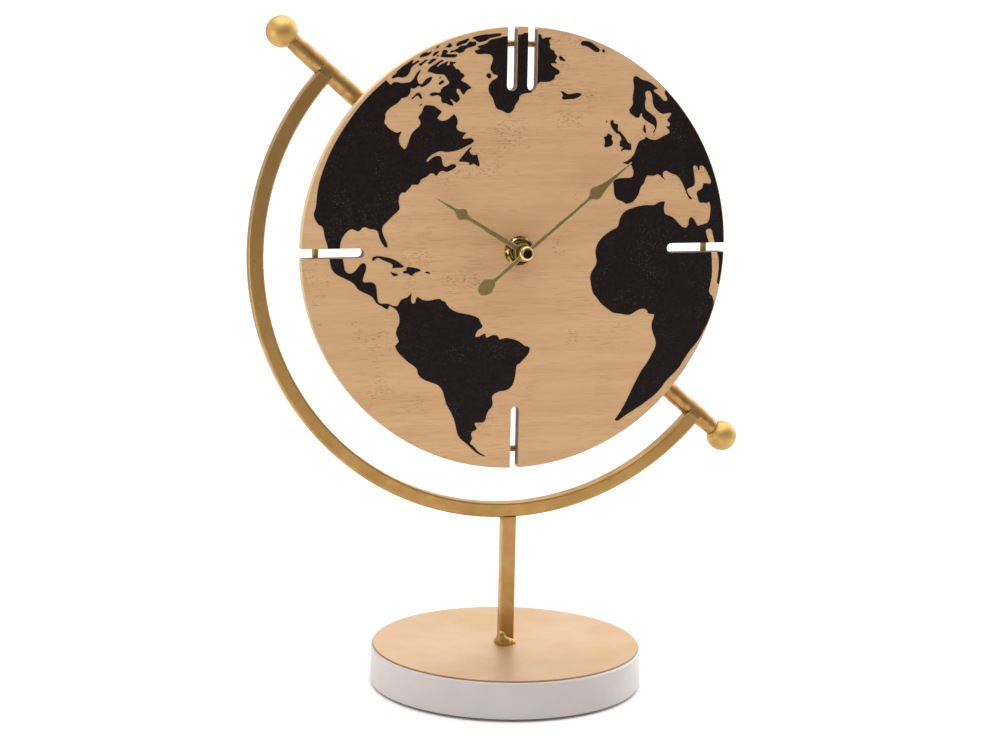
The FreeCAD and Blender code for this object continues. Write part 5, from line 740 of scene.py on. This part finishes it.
@dataclass
class Movement:
    """Quartz movement: case, wheels, motor, circuit and cell.

    The arrows run round the setting knob, with angles in degrees; the signs stand beside the cell's ends.
    """

    wheels: tuple[str, ...] = ("middle_plate", "hour_wheel", "motion_wheel", "centre_wheel", "third_wheel",
                               "second_wheel", "intermediate_wheel", "rotor_pinion")
    knob_middle: tuple[float, float] = (-16.25 * MM, 221.18 * MM)
    cover_back: float = 14.15 * MM
    mark_rise: float = 0.25 * MM
    mark_width: float = 0.8 * MM
    ring_reach: float = 8.4 * MM
    arrow_starts: tuple[int, int] = (20, 200)
    arrow_step: int = 10
    arrow_points: int = 12
    arrow_head: int = 14
    sign_arm: float = 1.6 * MM
    sign_reach: float = 22.0 * MM
    sign_height: float = 204.5 * MM

    def bar(self, work: bmesh.types.BMesh, corners: Sequence[tuple[float, float]]) -> None:
        """Raises one flat shape from the back of the cover.

        Args:
            work: the mesh to fill.
            corners: its corners, across and up.
        """
        sunk = self.cover_back - self.mark_rise
        face = work.faces.new([work.verts.new((x, sunk, z)) for x, z in corners])
        top = bmesh.ops.extrude_face_region(work, geom=[face])
        moved = [v for v in top["geom"] if isinstance(v, bmesh.types.BMVert)]
        bmesh.ops.translate(work, vec=(0, 2 * self.mark_rise, 0), verts=moved)

    def marks(self) -> None:
        """Moulds two turning arrows round the knob and the poles of the cell."""

        def spot(reach: float, angle: float) -> tuple[float, float]:
            """Gives a place round the knob.

            Args:
                reach: distance from its middle.
                angle: direction in degrees.

            Returns:
                Its place across and up.
            """
            turn = math.radians(angle)
            across, up = self.knob_middle
            return (across + reach * math.cos(turn), up + reach * math.sin(turn))

        def corners(left: float, right: float, low: float, high: float) -> list[tuple[float, float]]:
            """Gives the corners of an upright rectangle.

            Args:
                left: its least place across.
                right: its greatest place across.
                low: its least height.
                high: its greatest height.

            Returns:
                The four corners in turn.
            """
            return [(left, low), (right, low), (right, high), (left, high)]

        def draw(work: bmesh.types.BMesh) -> None:
            """Draws arrows and signs.

            Args:
                work: the mesh to fill.
            """
            half, arm = self.mark_width / 2, self.sign_arm
            inner, outer = self.ring_reach - half, self.ring_reach + half
            for start in self.arrow_starts:
                steps = [start + self.arrow_step * n for n in range(self.arrow_points)]
                self.bar(work, [spot(outer, a) for a in steps] + [spot(inner, a) for a in reversed(steps)])
                end = steps[-1]
                self.bar(work, [spot(outer + self.mark_width, end),
                                spot(self.ring_reach, end + self.arrow_head),
                                spot(inner - self.mark_width, end)])
            for side in (-1, 1):
                x, z = side * self.sign_reach, self.sign_height
                self.bar(work, corners(x - arm, x + arm, z - half, z + half))
                if side > 0:
                    for low, high in ((z - arm, z - half), (z + half, z + arm)):
                        self.bar(work, corners(x - half, x + half, low, high))

        piece = mesh_piece("cover_marks", draw, CASE_PLASTIC)
        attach(piece, "stand")

    def dress(self) -> None:
        """Dresses the movement's nodes."""
        self.marks()
        dress(CASE_PLASTIC, "movement_case", "movement_cover")
        dress(GEAR_PLASTIC, *self.wheels)
        dress(KNOB_PLASTIC, "setting_knob")
        dress(ZINC_STEEL, "minute_arbor", "clutch_spring")
        dress(FERRITE, "rotor_magnet")
        dress(YOKE_IRON, "stator", "coil_core")
        dress(COPPER_WIRE, "coil_winding")
        dress(BOBBIN_PLASTIC, "coil_bobbin")
        dress(BOARD_LAMINATE, "circuit_board")
        dress(CHIP_RESIN, "control_chip")
        dress(CRYSTAL_CAN, "quartz_crystal")
        dress(CELL_JACKET, "battery")
        dress(CONTACT_STEEL, "contact_positive", "contact_negative")


@dataclass(frozen=True)
class PaperSweep(Finish):
    """Matt white background paper: plain and pale, with a barely visible tooth."""


# The floor: matt paper. It takes only the soft shadow of the base.
FLOOR_PAPER = PaperSweep("background_paper_matt", "f7f6f5", "f5f4f3", "fafafa", 0.9, patch_mm=400.0,
                         texture_mm=4.0, relief_mm=0.02)


@dataclass(frozen=True)
class Patch:
    """One round area of the room that is brighter or darker than the rest, with soft edges.

    side is the way to it from the clock; start and end are the cosines of its outer and inner radius.
    """

    side: Place
    start: float
    end: float
    strength: float


@dataclass(frozen=True)
class Lamp:
    """One square soft box: its place and side in metres, its power in watts and its tint."""

    name: str
    place: Place
    size: float
    power: float
    tint: str


# A dark gap where faces turned to the front mirror the room: the cap nut's black heart, the hands' olive.
DARK_GAP = Patch((0.311, -0.943, -0.12), 0.9877, 0.9945, 0.05)
# A window high on the right, behind the clock: light upper edges on the tubes and hands.
RIGHT_WINDOW = Patch((0.80, 0.42, 0.42), 0.84, 0.96, 2.3)
# A window on the left: a light line along the left edges of the arc and stem.
LEFT_WINDOW = Patch((-0.93, -0.30, -0.15), 0.92, 0.985, 3.2)
# A paler wall in front: keeps the front face of the arc's upper half from going dark.
FRONT_WALL = Patch((0.06, -0.995, -0.08), 0.966, 0.992, 2.6)
# A dimmer corner behind: shade on the left side face of the stem.
BACK_CORNER = Patch((-0.30, 0.94, -0.12), 0.88, 0.97, 0.62)


@dataclass
class Studio:
    """Floor, soft light and the camera of the photograph. Lengths are in metres, except the lens's in mm."""

    floor_reach: float = 0.65
    floor_sides: int = 96
    azimuth: float = math.radians(-17.649)
    elevation: float = math.radians(9.822)
    roll: float = math.radians(1.17)
    distance: float = 1.151437
    target: Place = (-0.005488, 0.0, 0.15266)
    lens: float = 86.33
    sensor: float = 36.0
    room_light: float = 1.1
    front_light: float = 0.34
    front_side: Place = (-0.10, -0.99, 0.10)
    front_span: Span = (0.15, 0.85)
    backdrop_light: float = 1.2
    patches: tuple[Patch, ...] = (DARK_GAP, RIGHT_WINDOW, LEFT_WINDOW, FRONT_WALL, BACK_CORNER)
    lamps: tuple[Lamp, ...] = (Lamp("soft_box_key", (-0.50, -0.98, 1.32), 1.1, 3.6, "fffaf2"),
                               Lamp("soft_box_top", (0.0, 0.1, 2.4), 3.0, 47.0, "ffffff"))

    def floor(self) -> None:
        """Lays a round sheet of paper under the clock."""

        def draw(work: bmesh.types.BMesh) -> None:
            """Draws the sheet as one many-sided face.

            Args:
                work: the mesh to fill.
            """
            bmesh.ops.create_circle(work, cap_ends=True, radius=self.floor_reach, segments=self.floor_sides)

        mesh_piece("paper_floor", draw, FLOOR_PAPER)

    def hang(self, lamp: Lamp) -> None:
        """Hangs one soft box that looks at the clock.

        Args:
            lamp: the soft box.
        """
        data = bpy.data.lights.new(lamp.name, "AREA")
        data.shape, data.size, data.energy = "SQUARE", lamp.size, lamp.power
        data.color = linear(lamp.tint)[:3]
        box = bpy.data.objects.new(lamp.name, data)
        box.location = lamp.place
        look = Vector(self.target) - box.location
        box.rotation_mode = "QUATERNION"
        box.rotation_quaternion = look.to_track_quat("-Z", "Y")
        bpy.context.scene.collection.objects.link(box)
        log.info("%s hung", lamp.name)

    def room(self) -> None:
        """Makes a white room, dimmer on the camera's side and patchy, so that metal has contrast."""
        world = bpy.data.worlds.new("white_room")
        bpy.context.scene.world = world
        world.use_nodes = True
        tree = world.node_tree
        tree.nodes.clear()
        way = add(tree, "TexCoord").outputs["Generated"]

        def toward(side: Place, start: float, end: float, low: float, high: float) -> Socket:
            """Changes softly from one value to another towards one side of the room.

            Args:
                side: the way to that side.
                start: cosine up to which the value is low.
                end: cosine from which it is high.
                low: value away from the side.
                high: value at the side.

            Returns:
                The value.
            """
            near = add(tree, "VectorMath", {0: way, 1: side}, operation="DOT_PRODUCT").outputs["Value"]
            return add(tree, "MapRange", {"Value": near, "From Min": start, "From Max": end, "To Min": low,
                                          "To Max": high}, interpolation_type="SMOOTHSTEP").outputs[0]

        level = toward(self.front_side, *self.front_span, self.room_light, self.front_light)
        for patch in self.patches:
            share = toward(patch.side, patch.start, patch.end, 1.0, patch.strength)
            level = add(tree, "Math", {0: level, 1: share}, operation="MULTIPLY").outputs[0]
        light = add(tree, "Background", {"Color": linear("ffffff"), "Strength": level})
        seen = add(tree, "Background", {"Color": linear("ffffff"), "Strength": self.backdrop_light})
        path = add(tree, "LightPath").outputs["Is Camera Ray"]
        both = add(tree, "MixShader", {0: path, 1: light.outputs[0], 2: seen.outputs[0]})
        add(tree, "OutputWorld", {"Surface": both.outputs[0]})

    def camera(self) -> None:
        """Sets up the camera of the photograph."""
        az, el = self.azimuth, self.elevation
        back = Vector((math.sin(az) * math.cos(el), -math.cos(az) * math.cos(el), math.sin(el)))
        right = (-back).cross(Vector((0, 0, 1))).normalized()
        up = right.cross(-back)
        c, s = math.cos(self.roll), math.sin(self.roll)
        right, up = right * c + up * s, up * c - right * s
        data = bpy.data.cameras.new("photo_camera")
        data.sensor_width, data.lens = self.sensor, self.lens
        data.dof.use_dof = False
        camera = bpy.data.objects.new("photo_camera", data)
        turn = Matrix((right, up, back)).transposed().to_4x4()
        camera.matrix_world = Matrix.Translation(Vector(self.target) + back * self.distance) @ turn
        bpy.context.scene.collection.objects.link(camera)
        bpy.context.scene.camera = camera

    def set_up(self) -> None:
        """Builds the whole studio."""
        self.floor()
        self.room()
        for lamp in self.lamps:
            self.hang(lamp)
        self.camera()
        bpy.context.scene.view_settings.view_transform = "Standard"


def main() -> None:
    """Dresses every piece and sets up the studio."""
    logging.basicConfig(level=logging.INFO, format="%(name)s: %(message)s")
    for part in (Stand(), Dial(), Hands(), Movement()):
        part.dress()
    Studio().set_up()


if __name__ == "__main__":
    main()
